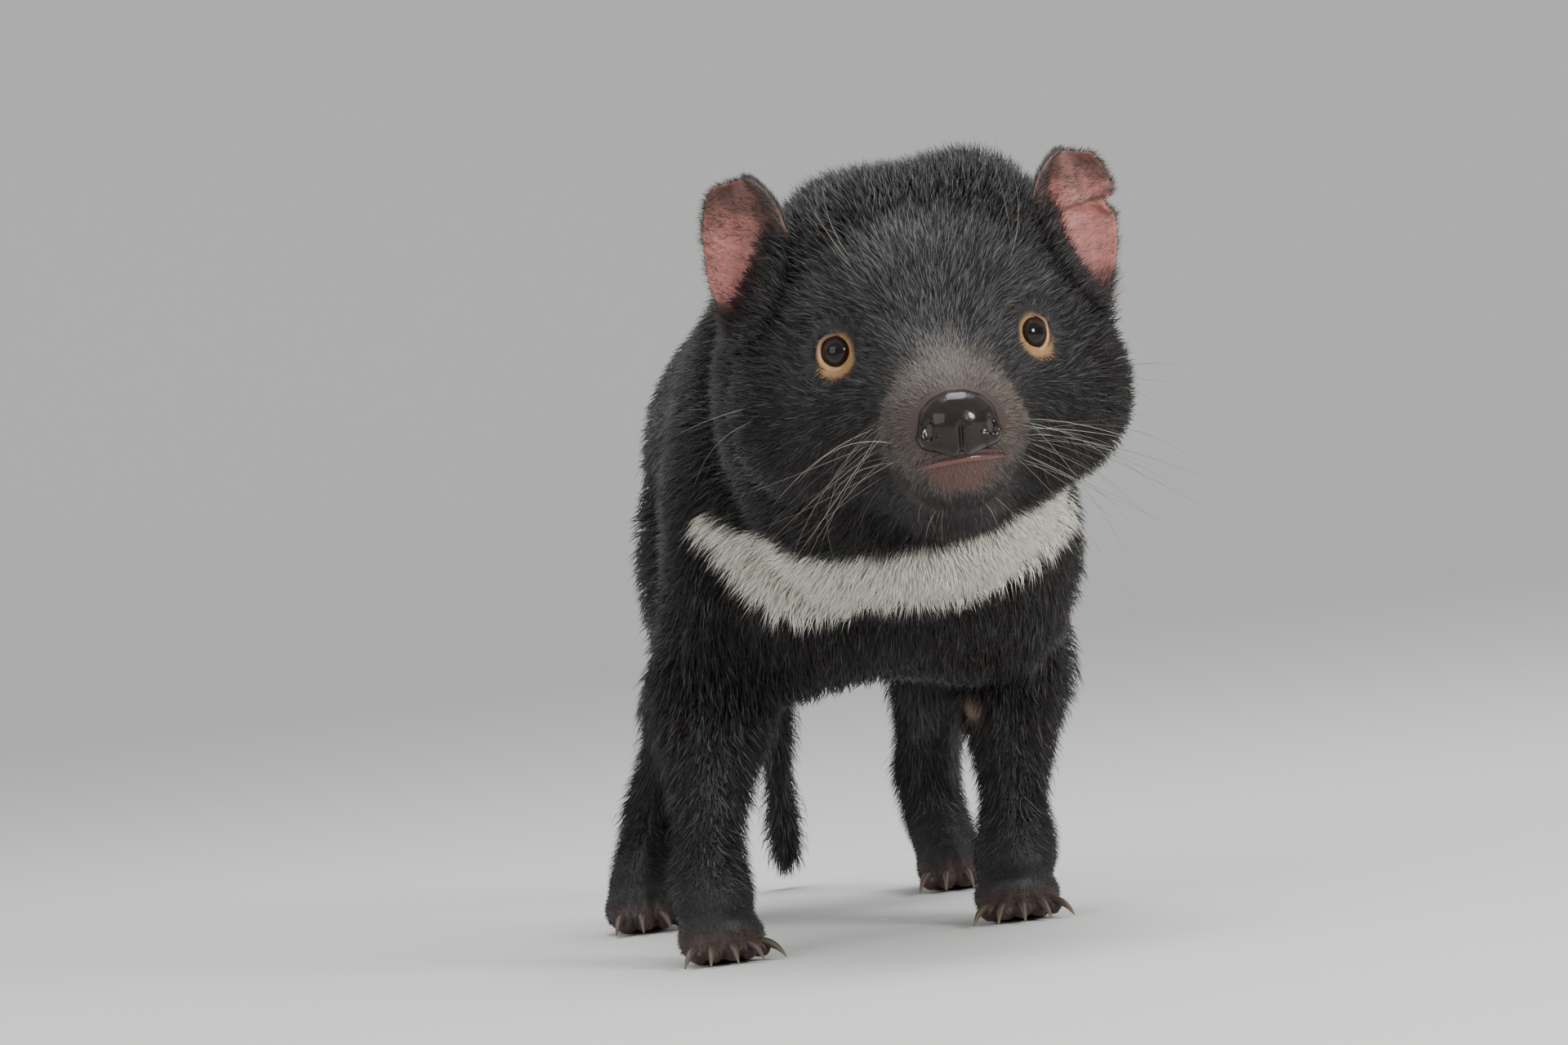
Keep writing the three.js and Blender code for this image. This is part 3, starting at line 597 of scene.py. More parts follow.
def rim_share(points):
    """1 on the cream fur round the eyes, which reaches further below them."""
    share = np.zeros(len(points))
    for side in SIDES:
        radius, height, out = eye_plane(points, side)
        limit = rim_limit(radius, height)
        share = np.maximum(share, (1 - ramp(radius, limit - 1.1, limit + 0.9)) * (out > -3))
    return share


def rim_limit(radius, height):
    """How far the cream reaches from the eye's axis, in millimetres."""
    return 5.5 + 2.8 * ramp(-height / np.maximum(radius, 1), 0.0, 0.9)


def tone_at(points, randomness, blaze):
    """The coat's colour, with each tuft's own share of brown, grey and pale."""
    colour = BLACK * (0.7 + 0.8 * randomness[:, :1]) + 0.25 * BROWN * randomness[:, 1:2] ** 3
    pale = (randomness[:, 2] < 0.85 * pale_share(points))[:, None]
    colour = np.where(pale, MUZZLE * (0.55 + 0.75 * randomness[:, :1]), colour)
    chin = (randomness[:, 1] < 0.8 * chin_share(points))[:, None]
    colour = np.where(chin, CHIN * (0.8 + 0.6 * randomness[:, :1]), colour)
    rim = (randomness[:, 0] < rim_share(points))[:, None]
    colour = np.where(rim, CREAM * (0.75 + 0.4 * randomness[:, 1:2]), colour)
    spot = (randomness[:, 2] < spot_share(points))[:, None]
    colour = np.where(spot, SPOT_TONE * (0.7 + 0.5 * randomness[:, :1]), colour)
    colour[blaze] = WHITE * (0.88 + 0.24 * randomness[blaze, :1])
    return colour


BROW_MM = vec(0.0, -8.0, 16.0)  # middle of the forehead, in the head


def tip_tone(points, colour, blaze):
    """The tips' colour, lighter than their tufts as painted glints: many on the crown and forehead are grey,
    fewer elsewhere.
    """
    crown = crown_share(*points.T)
    brow = 1 - ramp(np.linalg.norm(in_head(points) / MM - BROW_MM, axis=1), 30, 60)
    low = 1 - ramp(points[:, 2], 0.1, 0.14)
    share = 0.1 + 0.34 * np.maximum(crown, brow) + 0.12 * low
    grey = (rng.random(len(points)) < share)[:, None]
    shade = rng.random((len(points), 1))
    tips = np.where(grey, GLINT_GREY * (0.35 + 1.1 * shade), colour * (1.2 + 1.5 * shade**3))
    dark = colour.mean(axis=1, keepdims=True) < 0.03
    tips = np.where(dark, tips, colour * (1.0 + 0.5 * shade))
    tips[blaze] = WHITE
    return tips


def skin_tone(points, blaze):
    """The same markings on the skin itself."""
    colour = np.tile(BLACK * 1.3, (len(points), 1))
    for share, shade in (
        (0.8 * pale_share(points), MUZZLE_SKIN),
        (chin_share(points), CHIN_SKIN),
        (rim_share(points), CREAM * 0.6),
        (spot_share(points), SPOT_TONE * 0.9),
        (blaze * 1.0, WHITE * 0.8),
    ):
        colour = mix(colour, shade, share[:, None])
    return mix(colour, BARE, (1 - ramp(points[:, 2], 0.006, 0.013))[:, None])


skin_blaze = in_blaze(skin_points, skin_normals)
paint(skin, skin_tone(skin_points, skin_blaze))


# Coat
def lie_of(points, normals):
    """The direction in which the coat lies, along the skin."""
    head = in_head(points) / MM
    away = points - (NOSE + vec(0, -0.004, 0.004))
    flow = unit(away) + vec(0, 0.55, 0.0)
    for side in SIDES:
        radius, _, _ = eye_plane(points, side)
        near = (1 - ramp(radius, 8, 14))[:, None]
        flow = mix(flow, unit(points - EYES[side]), near)
    face = 1 - ramp(head[:, 1], 45, 85)
    body_flow = np.tile(vec(0.0, 1.0, -0.45), (len(points), 1))
    for share, way in (
        (ramp(-normals[:, 1], 0.2, 0.7), (0.0, 0.1, -1.0)),  # down the chest
        (1 - ramp(points[:, 2], 0.07, 0.11), (0.0, 0.35, -1.0)),  # down the legs
        (1 - ramp(points[:, 2], 0.014, 0.026), (0.0, -1.0, -0.25)),  # forward on the paws
        (ramp(points[:, 1], TAIL_LOW[1], TAIL_LOW[1] + 0.03), (0.0, 0.5, -1.0)),  # down the tail
    ):
        body_flow = mix(body_flow, way, share[:, None])
    flow = mix(body_flow, flow, face[:, None])
    stir = [0.3 * waves(points, 17, k) + 0.16 * waves(points, 7, k + 2) for k in (0.3, 1.9, 3.1)]
    return along_skin(unit(flow) + np.stack(stir, axis=1), normals)


def sizes_of(points):
    """Tufts per square millimetre, their length and width in millimetres, and their lean in degrees."""
    head = in_head(points) / MM
    from_nose = np.linalg.norm(points - NOSE, axis=1) / MM
    depth = coat_mm(*points.T)
    crown = crown_share(*points.T)
    on_head = 1 - ramp(head[:, 1], 50, 80)
    on_face = 1 - ramp(from_nose, 30, 75)
    low = 1 - ramp(points[:, 2], 0.016, 0.03)
    front = ramp(-points[:, 1], 0.03, 0.07)
    leg = 1 - ramp(points[:, 2], 0.07, 0.11)
    density = 0.62 + 0.45 * np.maximum(front, leg) + 0.75 * on_head + 1.6 * on_face
    density = mix(density, 2.0, low)
    length = depth * 1.75 + 0.9 + 6.0 * crown
    short_leg = 1 - ramp(points[:, 2], 0.03, 0.045)
    foot_hair = 2.2 + 5.4 * ramp(points[:, 2], 0.012, 0.04)
    length = np.where(short_leg > 0, np.maximum(length, foot_hair), length)
    width = 0.24 + 0.06 * depth + 0.03 * crown - 0.04 * on_head
    lean = 25 + 8 * on_head + 22 * crown
    white = beside_blaze(points, 0.004) * 1.0
    density = density * (1 + 0.7 * white)
    width = width * (1 - 0.25 * white)
    for side in SIDES:
        radius, _, _ = eye_plane(points, side)
        near = 1 - ramp(radius, 7, 14)
        length = length * (1 - 0.45 * near)
        width = width * (1 - 0.3 * near)
        density = density * (1 + 0.5 * near)
        lean = lean * (1 - 0.25 * near)
    density = density * (1 - 0.65 * chin_share(points))
    length = length * (1 - 0.75 * spot_share(points))
    return density, length, width, lean


def scatter_on(points, normals, corners, density_of):
    """Random places on triangles, as dense as asked for, in tufts per square millimetre."""
    ends = points[corners]
    area = np.linalg.norm(np.cross(ends[:, 1] - ends[:, 0], ends[:, 2] - ends[:, 0]), axis=1) / 2 / MM**2
    total = np.cumsum(area * density_of(ends.mean(axis=1), unit(normals[corners].mean(axis=1))))
    count = int(total[-1])
    at = (np.arange(count) + rng.random(count)) / count * total[-1]
    chosen = np.minimum(np.searchsorted(total, at), len(area) - 1)
    u, v = rng.random(count), rng.random(count)
    flip = u + v > 1
    u[flip], v[flip] = 1 - u[flip], 1 - v[flip]
    weights = np.stack([1 - u - v, u, v], axis=1)[:, :, None]
    places = (ends[chosen] * weights).sum(axis=1)
    return places, unit((normals[corners[chosen]] * weights).sum(axis=1))


def scatter(obj, density_of):
    return scatter_on(points_of(obj), normals_of(obj), corners_of(obj.data), density_of)


SOLE_HEIGHT, NOSE_BARE, EYE_BARE_MM = 0.0035, 0.51, 6.7  # NOSE_BARE is a share of the nose's size


def bare(points):
    """Places without fur: the soles, the nose and the openings of the eyes."""
    none = points[:, 2] < SOLE_HEIGHT
    none |= np.linalg.norm((points - NOSE) / NOSE_SIZE, axis=1) < NOSE_BARE
    for side in SIDES:
        radius, _, out = eye_plane(points, side)
        none |= (radius < EYE_BARE_MM) & (out > -4)
    return none


RING = vec(0.0, 2 * math.pi / 3, 4 * math.pi / 3)
BENT_FACES = np.array(
    [[0, 2, 1]]
    + [face for k in range(3) for face in ([k, (k + 1) % 3, 3 + (k + 1) % 3], [k, 3 + (k + 1) % 3, 3 + k])]
    + [[3 + k, 3 + (k + 1) % 3, 6] for k in range(3)]
)
STRAIGHT_FACES = np.array([[0, 2, 1], [0, 1, 3], [1, 2, 3], [2, 0, 3]])
ROOT_SINK = 0.6 * MM


def tufts(points, normals, lie, length, width, lean, colour, tip_colour, bent):
    """Three-sided tufts, bent over in the middle or straight. Gives their points, faces and colours."""
    side = np.cross(lie, normals)
    count = len(points)
    first, last = (1.45, 0.45) if bent else (0.9, 0.9)
    steep, flat = np.radians(lean * first)[:, None], np.radians(lean * last)[:, None]
    middle = points + length[:, None] * 0.5 * (np.cos(steep) * lie + np.sin(steep) * normals)
    tip = middle + length[:, None] * 0.5 * (np.cos(flat) * lie + np.sin(flat) * normals)
    rings = 2 if bent else 1
    out = np.empty((count, rings * 3 + 1, 3))
    for k, turn in enumerate(RING):
        flare = side * math.cos(turn) + normals * 0.7 * math.sin(turn)
        out[:, k] = points - normals * ROOT_SINK + flare * width[:, None] * 0.5
        if bent:
            out[:, 3 + k] = middle + flare * width[:, None] * 0.36
    out[:, -1] = tip
    faces = (BENT_FACES if bent else STRAIGHT_FACES)[None] + (np.arange(count) * out.shape[1])[:, None, None]
    colours = np.empty(out.shape)
    colours[:, :3] = colour[:, None] * 0.75
    if bent:
        colours[:, 3:6] = colour[:, None]
    colours[:, -1] = tip_colour
    return out.reshape(-1, 3), faces.reshape(-1, 3), colours.reshape(-1, 3)


def unwrap_place(points):
    """Where a root lies on an unwrap of the animal: round it, and along it from nose to tail."""
    axis_z = np.interp(points[:, 1], [cad_low[1], 0.0, TAIL_HIGH[1]], [0.16, 0.15, 0.05])
    turn = np.arctan2(points[:, 0], points[:, 2] - axis_z) / (2 * math.pi) + 0.5
    along = (points[:, 1] - cad_low[1]) / (cad_high[1] - cad_low[1])
    return np.stack([0.01 + 0.98 * turn, 0.01 + 0.98 * along], axis=1)


UV_PATCH = 0.003


def map_tufts(obj, roots_uv, bent):
    """Gives every tuft a small patch at its root's place on the unwrap, from its root up to its tip."""
    root, bend, tip = [[-0.5, -0.5], [0.5, -0.5], [0, -0.3]], [[-0.4, 0.1], [0.4, 0.1], [0, 0.2]], [[0, 0.5]]
    local = np.array(root + (bend if bent else []) + tip) * UV_PATCH
    uv = (roots_uv[:, None] + local[None]).reshape(-1, 2)
    corners = np.empty(len(obj.data.loops), np.int32)
    obj.data.loops.foreach_get("vertex_index", corners)
    layer = obj.data.uv_layers.new(name="OFBake")
    layer.data.foreach_set("uv", uv[corners].astype(np.float32).ravel())


PIECE_TUFTS = {True: 19000, False: 48000}  # the most in one piece, bent or straight
BEND_RISE = 5.4 * MM  # tufts that would rise more than this bend over


def build_coat(prefix, points, normals, lie, length, width, lean, colour, tip_colour):
    """Joins tufts into a few meshes, running from the nose to the tail."""
    order = np.argsort(points[:, 1])
    arrays = [a[order] for a in (points, normals, lie, length, width, lean, colour, tip_colour)]
    rises = arrays[3] * np.sin(np.radians(arrays[5])) > BEND_RISE
    for bent, kind in ((True, ""), (False, "short_")):
        chosen = [a[rises == bent] for a in arrays]
        room = PIECE_TUFTS[bent]
        for i in range(math.ceil(len(chosen[0]) / room)):
            part = [a[i * room : (i + 1) * room] for a in chosen]
            tuft_points, tuft_faces, colours = tufts(*part, bent)
            piece = object_from(f"{prefix}_{kind}{i + 1}", tuft_points, tuft_faces)
            paint(piece, colours)
            map_tufts(piece, unwrap_place(part[0]), bent)
            finish_piece(piece, FUR, "dark_coat")


COAT_SHARE = 1.0
LIE_STIR = 0.16


def coat_density(points, _):
    return np.where(bare(points), 0, sizes_of(points)[0] * COAT_SHARE)


root_points, root_normals = scatter_on(skin_points, skin_normals, skin_corners, coat_density)
_, length, width, lean = sizes_of(root_points)
count = len(root_points)
lie = unit(lie_of(root_points, root_normals) + rng.normal(0, LIE_STIR, (count, 3)))
lie = along_skin(lie, root_normals)
randomness = rng.random((count, 3))
blaze = in_blaze(root_points, root_normals)
colour = tone_at(root_points, randomness, blaze)
tip_colour = tip_tone(root_points, colour, blaze)
length = length * MM * vary(count, 0.7, 0.5)
width = width * MM * vary(count, 0.75, 0.5)
lean = lean * vary(count, 0.6, 0.9)
build_coat("coat", root_points, root_normals, lie, length, width, lean, colour, tip_colour)


# Eyes and lids
def ring_quads(rings, turns):
    """The faces between rings of points, each ring joined to the next."""
    ring, k = np.meshgrid(np.arange(rings - 1) * turns, np.arange(turns), indexing="ij")
    after = (k + 1) % turns
    quads = np.stack([ring + k, ring + after, ring + turns + after, ring + turns + k], axis=-1)
    return quads.reshape(-1, 4)


def lathe(centre, axes, rings, turns, shape=None):
    """Rings of (radius, height) round the first axis, joined into one skin open at both ends."""
    out, first, second = axes
    turn = 2 * math.pi * np.arange(turns) / turns
    stretch = shape(turn) if shape else np.ones(turns)
    flat = (first * np.cos(turn)[:, None] + second * np.sin(turn)[:, None]) * stretch[:, None]
    points = np.concatenate([centre + flat * radius + out * height for radius, height in rings])
    return points, ring_quads(len(rings), turns)


EYE_TURNS, EYE_RINGS = 48, 40
CORNEA_RISE, CORNEA_SPREAD = 0.5 * MM, 0.55
PUPIL_DEGREES, IRIS_FADE_DEGREES, IRIS_DEGREES = 22, 42, 50
LID_TURNS = 72
# Each lid ring's distance from the eye's axis and height over its centre
LID_RINGS_MM = [(4.95, 4.5), (4.98, 5.0), (5.2, 5.3), (5.8, 5.35), (6.5, 5.05)]
LID_RINGS_MM += [(7.4, 4.35), (8.6, 3.0), (10.0, 1.0), (11.6, -1.7)]
CORNER_OUT, CORNER_IN, CORNER_DOWN = 4.75, 5.15, 0.5  # where the pink corner is, in millimetres
CORNER_RADIUS, CORNER_HEIGHT = 1.15 * MM, 1.0 * MM
LID_STRETCH = {"right": (1.0, 0.95), "left": (0.84, 1.0)}  # width and height of each opening


def beside_turn(turn, place, width):
    """1 at one place round the lid, falling off to both sides."""
    return np.exp(-((((turn - place + math.pi) % (2 * math.pi)) - math.pi) / width) ** 2)


def lid_shape(turn, side):
    """The opening is drawn out at its low corner beside the nose and its high outer one."""
    wide, high = LID_STRETCH[side]
    stretch = np.hypot(wide * np.cos(turn), high * np.sin(turn))
    return stretch * (1 + 0.14 * beside_turn(turn, -0.45, 0.36) + 0.07 * beside_turn(turn, 2.5, 0.4))


def lid_wrinkle(points, side):
    """Fine folds that run round the eye, broken up along their way, between about -1 and 1."""
    radius, _, _ = eye_plane(points, side)
    return (0.6 * np.sin(radius * 5.2 + 2.0 * waves(points, 7, 0.4)) + 0.5 * waves(points, 3, 1.7))[:, None]


def lid_hair(lid, side):
    """Short hair that grows outward over the lids: cream below the eye, black above it."""
    out = eye_axes(side)[0]

    def density_of(points, _):
        radius, height, _ = eye_plane(points, side)
        start = 5.5 + 0.9 * ramp(-height / np.maximum(radius, 1), 0.2, 0.9)
        return 5.0 * COAT_SHARE * ramp(radius, start - 0.4, start + 0.6) * (radius < 10.6)

    points, normals = scatter(lid, density_of)
    normals = np.where((normals @ out < 0)[:, None], -normals, normals)
    count = len(points)
    lie = points - EYES[side] + rng.normal(0, 0.3, (count, 3)) * EYE_RADIUS
    lie = along_skin(lie, normals)
    radius, height, _ = eye_plane(points, side)
    cream = (radius + rng.normal(0, 0.6, count) < rim_limit(radius, height))[:, None]
    shade = rng.random((count, 1))
    fade = ramp(radius, 6.0, 8.2)[:, None]
    pale = mix(CREAM, RIM_OUTER * 1.4, fade)
    colour = np.where(cream, pale * (0.7 + 0.5 * shade), BLACK * (0.8 + 0.8 * shade))
    length = (1.5 + 0.45 * (radius - 6)) * MM * vary(count, 0.7, 0.6)
    # The grey tips on the black hair and the lighter tips on the rest are painted glints.
    tips = np.where((rng.random((count, 1)) < 0.3) & ~cream, GLINT_GREY * (0.3 + shade), colour * 1.3)
    width = 0.24 * MM * 1.0 * vary(count, 0.7, 0.6)
    lean = 14 + 16 * rng.random(count)
    build_coat(f"coat_lids_{side}", points, normals, lie, length, width, lean, colour, tips)


def add_eyeball(side):
    steps = np.radians(np.linspace(1.5, 178.5, EYE_RINGS))
    radius = EYE_RADIUS + CORNEA_RISE * np.exp(-((steps / CORNEA_SPREAD) ** 4))
    rings = list(zip(radius * np.sin(steps), radius * np.cos(steps)))
    points, quads = lathe(EYES[side], eye_axes(side), rings, EYE_TURNS)
    last = len(points) - EYE_TURNS
    caps = np.array([np.arange(EYE_TURNS)[::-1], np.arange(last, last + EYE_TURNS)])
    eye = object_from(f"eyeball_{side}", points, quads, caps)
    turn = np.repeat(np.degrees(steps), EYE_TURNS)[:, None]
    iris = ramp(turn, PUPIL_DEGREES - 2, PUPIL_DEGREES + 2)
    iris = iris * (1 - ramp(turn, IRIS_FADE_DEGREES, IRIS_DEGREES))
    paint(eye, mix(PUPIL + iris * IRIS, EYE_WHITE, ramp(turn, IRIS_DEGREES, IRIS_DEGREES + 8)))
    finish_piece(eye, EYE, "eye", f"eye_{side}")


def add_lids(side):
    axes = eye_axes(side)
    rings = [(r * MM, h * MM) for r, h in LID_RINGS_MM]
    points, quads = lathe(EYES[side], axes, rings, LID_TURNS, lambda turn: lid_shape(turn, side))
    lid = object_from(f"lids_{side}", points, quads)
    ring = np.repeat(np.arange(len(rings)), LID_TURNS)[:, None]
    wrinkle = lid_wrinkle(points, side)
    set_points(lid, points + axes[0] * (ramp(ring, 1, 3) * 0.22 * MM) * wrinkle)
    height = np.tile(np.sin(2 * math.pi * np.arange(LID_TURNS) / LID_TURNS), len(rings))[:, None]
    # The wrinkle also makes the cream lighter on the raised folds and darker between them: painted light and
    # shade.
    shade = CREAM * (0.88 - 0.45 * ramp(height, -0.3, 0.8)) * (1 + 0.3 * wrinkle)
    shade = mix(shade, RIM_OUTER, ramp(ring, 2.8 - 0.8 * height, 4.2 - 0.9 * height))
    shade = mix(shade, BLACK * 1.5, ramp(ring, 3.7 - 1.3 * height, 4.7 - 1.4 * height))
    paint(lid, np.where(ring < 2, LID_EDGE, np.where(ring < 3, (shade + LID_EDGE) / 2, shade)))
    finish_piece(lid, LID, "lip_skin")
    lid_hair(lid, side)


def add_corner(side):
    """The pink corner of the eye beside the nose."""
    axes = eye_axes(side)
    out, inward, up = axes
    centre = EYES[side] + out * CORNER_OUT * MM + inward * CORNER_IN * MM - up * CORNER_DOWN * MM
    steps = np.radians(np.linspace(3, 177, 14))
    rings = list(zip(CORNER_RADIUS * np.sin(steps), CORNER_HEIGHT * np.cos(steps)))
    points, quads = lathe(centre, axes, rings, 20)
    corner = object_from(f"eye_corner_{side}", points, quads)
    paint(corner, np.tile(CARUNCLE, (len(points), 1)))
    finish_piece(corner, LIP, "lip_skin")


for side in SIDES:
    add_eyeball(side)
    add_lids(side)
    add_corner(side)


# Nose
# Places on the nose pad, in millimetres from its centre: across, back and up
NOSTRIL_MM = [(7.4, -8.6, -3.4), (9.6, -7.6, -2.6), (11.6, -5.0, -0.4), (12.6, -2.0, 1.6)]
NOSTRIL_WIDE_MM, NOSTRIL_TAPER_MM = 2.0, 1.25
GROOVE_MM, GROOVE_HALF_MM, GROOVE_TOP_MM = 1.2, 0.6, -0.5
nose_centre = in_head(NOSE[None])[0] / MM


def nostril_path(side):
    places = [(side * x, y, z) for x, y, z in NOSTRIL_MM]
    return np.array([from_head(*(place + nose_centre)) for place in places])


NOSTRILS = [nostril_path(side) for side in (-1, 1)]


def groove_share(points):
    """1 along the upright groove on the front of the nose pad, below its middle."""
    offset = in_head(points) / MM - nose_centre
    below = 1 - ramp(offset[:, 2], GROOVE_TOP_MM - 1.5, GROOVE_TOP_MM + 0.5)
    return np.exp(-((offset[:, 0] / GROOVE_HALF_MM) ** 2)) * below * (offset[:, 1] < 0)


def carve_nose(form):
    """Opens the comma-shaped nostrils and the groove down the middle."""
    x, y, z = (np.broadcast_to(a, form.values.shape).ravel() for a in form.axes())
    grid = np.stack([x, y, z], axis=1)
    values = form.values.ravel()
    for path in NOSTRILS:
        gap, share = nearest_on(grid, path)
        values = np.maximum(values, (NOSTRIL_WIDE_MM - NOSTRIL_TAPER_MM * share) * MM - gap)
    values = values + GROOVE_MM * MM * groove_share(grid)
    return soften(values.reshape(form.values.shape), 0.8)


def rounded(name, node, voxel, sigma, grow=0.0, change=None):
    """A CAD node's form, rounded off, and grown by what the rounding takes from its edges."""
    form = Field([node], voxel, seal=voxel * 1.01, band=voxel * 8)
    form.values = soften(form.values, sigma) - grow
    if change is not None:
        form.values = change(form)
    return surface_of(name, form)


nose = rounded("nose_pad", "nose", 0.36 * MM, 1.5, change=carve_nose)
nose_points = points_of(nose)
# Painted shade darkens the nostrils and the groove down the nose.
nose_hollow_shade = np.zeros(len(nose_points))
for path in NOSTRILS:
    gap, _ = nearest_on(nose_points, path)
    nose_hollow_shade = np.maximum(nose_hollow_shade, 1 - ramp(gap / MM, 1.2, 2.1))
nose_hollow_shade = np.maximum(nose_hollow_shade, 0.8 * groove_share(nose_points))
tint = NOSE_TONE * (1 + 0.25 * waves(nose_points, 6, 0.5))[:, None]
paint(nose, mix(tint, NOSTRIL_SHADE, nose_hollow_shade[:, None]))
finish_piece(nose, NOSE_SKIN, "nose_skin", "nose")


# Mouth
TUBE_ASIDE = vec(0.13, 0.21, 0.97)  # no tube runs along this


def tube(path, radii, sides):
    """The points, sides and ends of a tube along a path."""
    ahead = unit(np.gradient(path, axis=0))
    across = unit(np.cross(ahead, TUBE_ASIDE))
    over = np.cross(ahead, across)
    turn = 2 * math.pi * np.arange(sides) / sides
    ring = across[:, None] * np.cos(turn)[None, :, None] + over[:, None] * np.sin(turn)[None, :, None]
    points = path[:, None] + ring * radii[:, None, None]
    ends = np.array([np.arange(sides)[::-1], np.arange(sides) + (len(path) - 1) * sides])
    return points.reshape(-1, 3), ring_quads(len(path), sides), ends


MOUTH_AXIS_MM = (0, -28)  # the lips curve round this upright line in the head
MOUTH_HEIGHT_MM = -39.2
MOUTH_HALF_DEGREES = 50
MOUTH_POINTS = 61
LIP_SIDES = 10


def on_muzzle(degrees, height):
    """Where the skin of the muzzle is, seen at an angle round the mouth's axis."""
    turn = math.radians(degrees)
    x, y = MOUTH_AXIS_MM
    outside = from_head(x + 70 * math.sin(turn), y - 70 * math.cos(turn), height)
    return skin_hit(outside, from_head(x, y, height))


def mouth_line(rise):
    """A line along the mouth, and how near each place is to a corner of it, from 0 to 1."""
    degrees = np.linspace(-MOUTH_HALF_DEGREES, MOUTH_HALF_DEGREES, MOUTH_POINTS)
    share = np.abs(degrees) / MOUTH_HALF_DEGREES
    heights = MOUTH_HEIGHT_MM + rise * (1 - share**3) - 1.6 * share**2
    heights = heights + 0.9 * np.sin(np.radians(degrees) * 1.6)
    path = np.array([on_muzzle(d, h) for d, h in zip(degrees, heights)])
    for _ in range(3):
        path[1:-1] = (path[:-2] + 2 * path[1:-1] + path[2:]) / 4
    return path, share


# Each lip: its rise over the mouth's line, radius and sink in millimetres, and its colour
LIPS = [
    ("upper_lip", 0.95, 1.05, 0.3, LIP_TONE * 0.3),
    # The slit between the lips is a dark tube of painted shade.
    ("mouth_slit", 0.0, 0.75, 0.35, SLIT_SHADE),
    ("lower_lip", -1.1, 1.25, 0.3, LIP_TONE),
]
for name, rise, radius, sink, shade in LIPS:
    path, share = mouth_line(rise)
    inward = unit(from_head(*MOUTH_AXIS_MM, MOUTH_HEIGHT_MM) - path)
    parts = tube(path + inward * sink * MM, radius * MM * (1 - 0.72 * share**2), LIP_SIDES)
    lip = object_from(name, *parts)
    along = np.repeat(share, LIP_SIDES)[:, None]
    grain = 0.9 + 0.2 * waves(parts[0], 5, 2.0)[:, None]
    paint(lip, shade * (1 - 0.55 * ramp(along, 0.5, 1.0)) * grain)
    finish_piece(lip, LIP, "lip_skin")


# Ears
EAR_TURN = {"right": math.radians(-46), "left": math.radians(32)}  # outward from facing forward
EAR_SHADE = {"right": 0.85, "left": 0.4}  # how brown the half beside the head is; the right ear's larger share is partly painted shade, as that ear stands on the shaded side
EAR_LOBE = {"right": 0.0, "left": 1.0}  # only the left ear's upper lobe folds over at its tear
EAR_HALF_MM = 17.5
EAR_ROOT = 0.004  # how much of the node, at its foot, is under the coat


def ear_facing(side):
    turn = EAR_TURN[side]
    return unit(vec(math.sin(turn), -math.cos(turn), 0.05))


def ear_outward(side):
    """Across the ear, away from the middle of the head."""
    outward = unit(np.cross(ear_facing(side), vec(0, 0, 1.0)))
    return outward if outward[0] * TOWARDS[side] > 0 else -outward


def in_ear(points, side):
    """Across the ear from -1 to 1 (outward), up it from 0 to 1, both at the ear's own scale."""
    low, high = box_of(f"ear_{side}")
    offset = points - (low + high) / 2
    up = (points[:, 2] - low[2] - EAR_ROOT) / (high[2] - low[2] - EAR_ROOT)
    return offset @ ear_outward(side) / (EAR_HALF_MM * MM), up


def shape_ear(obj, side):
    """Sinks the cup, raises the folds inside it and ripples its edge."""
    points, normals = points_of(obj), normals_of(obj)
    across, up = in_ear(points, side)
    front = ramp(normals @ ear_facing(side), 0.1, 0.6)
    fold = np.exp(-(((up - 0.66 - 0.1 * across) / 0.035) ** 2)) * 0.9 * EAR_LOBE[side]
    second = np.exp(-(((up - 0.45 - 0.22 * across) / 0.04) ** 2)) * 0.55 * ramp(across, -0.5, 0.2)
    ridge = np.exp(-(((across + 0.25 - 0.3 * up) / 0.1) ** 2)) * ramp(0.62 - up, 0, 0.25) * 0.8
    cup = np.exp(-(((across - 0.05) / 0.5) ** 2) - ((up - 0.28) / 0.2) ** 2) * 1.1
    lift = (fold + second + ridge - cup) * front * MM
    wave = 0.5 * MM * np.sin(across * 5 + up * 9) * ramp(np.abs(across), 0.5, 1.0)
    set_points(obj, points + normals * lift[:, None] + ear_facing(side) * wave[:, None])


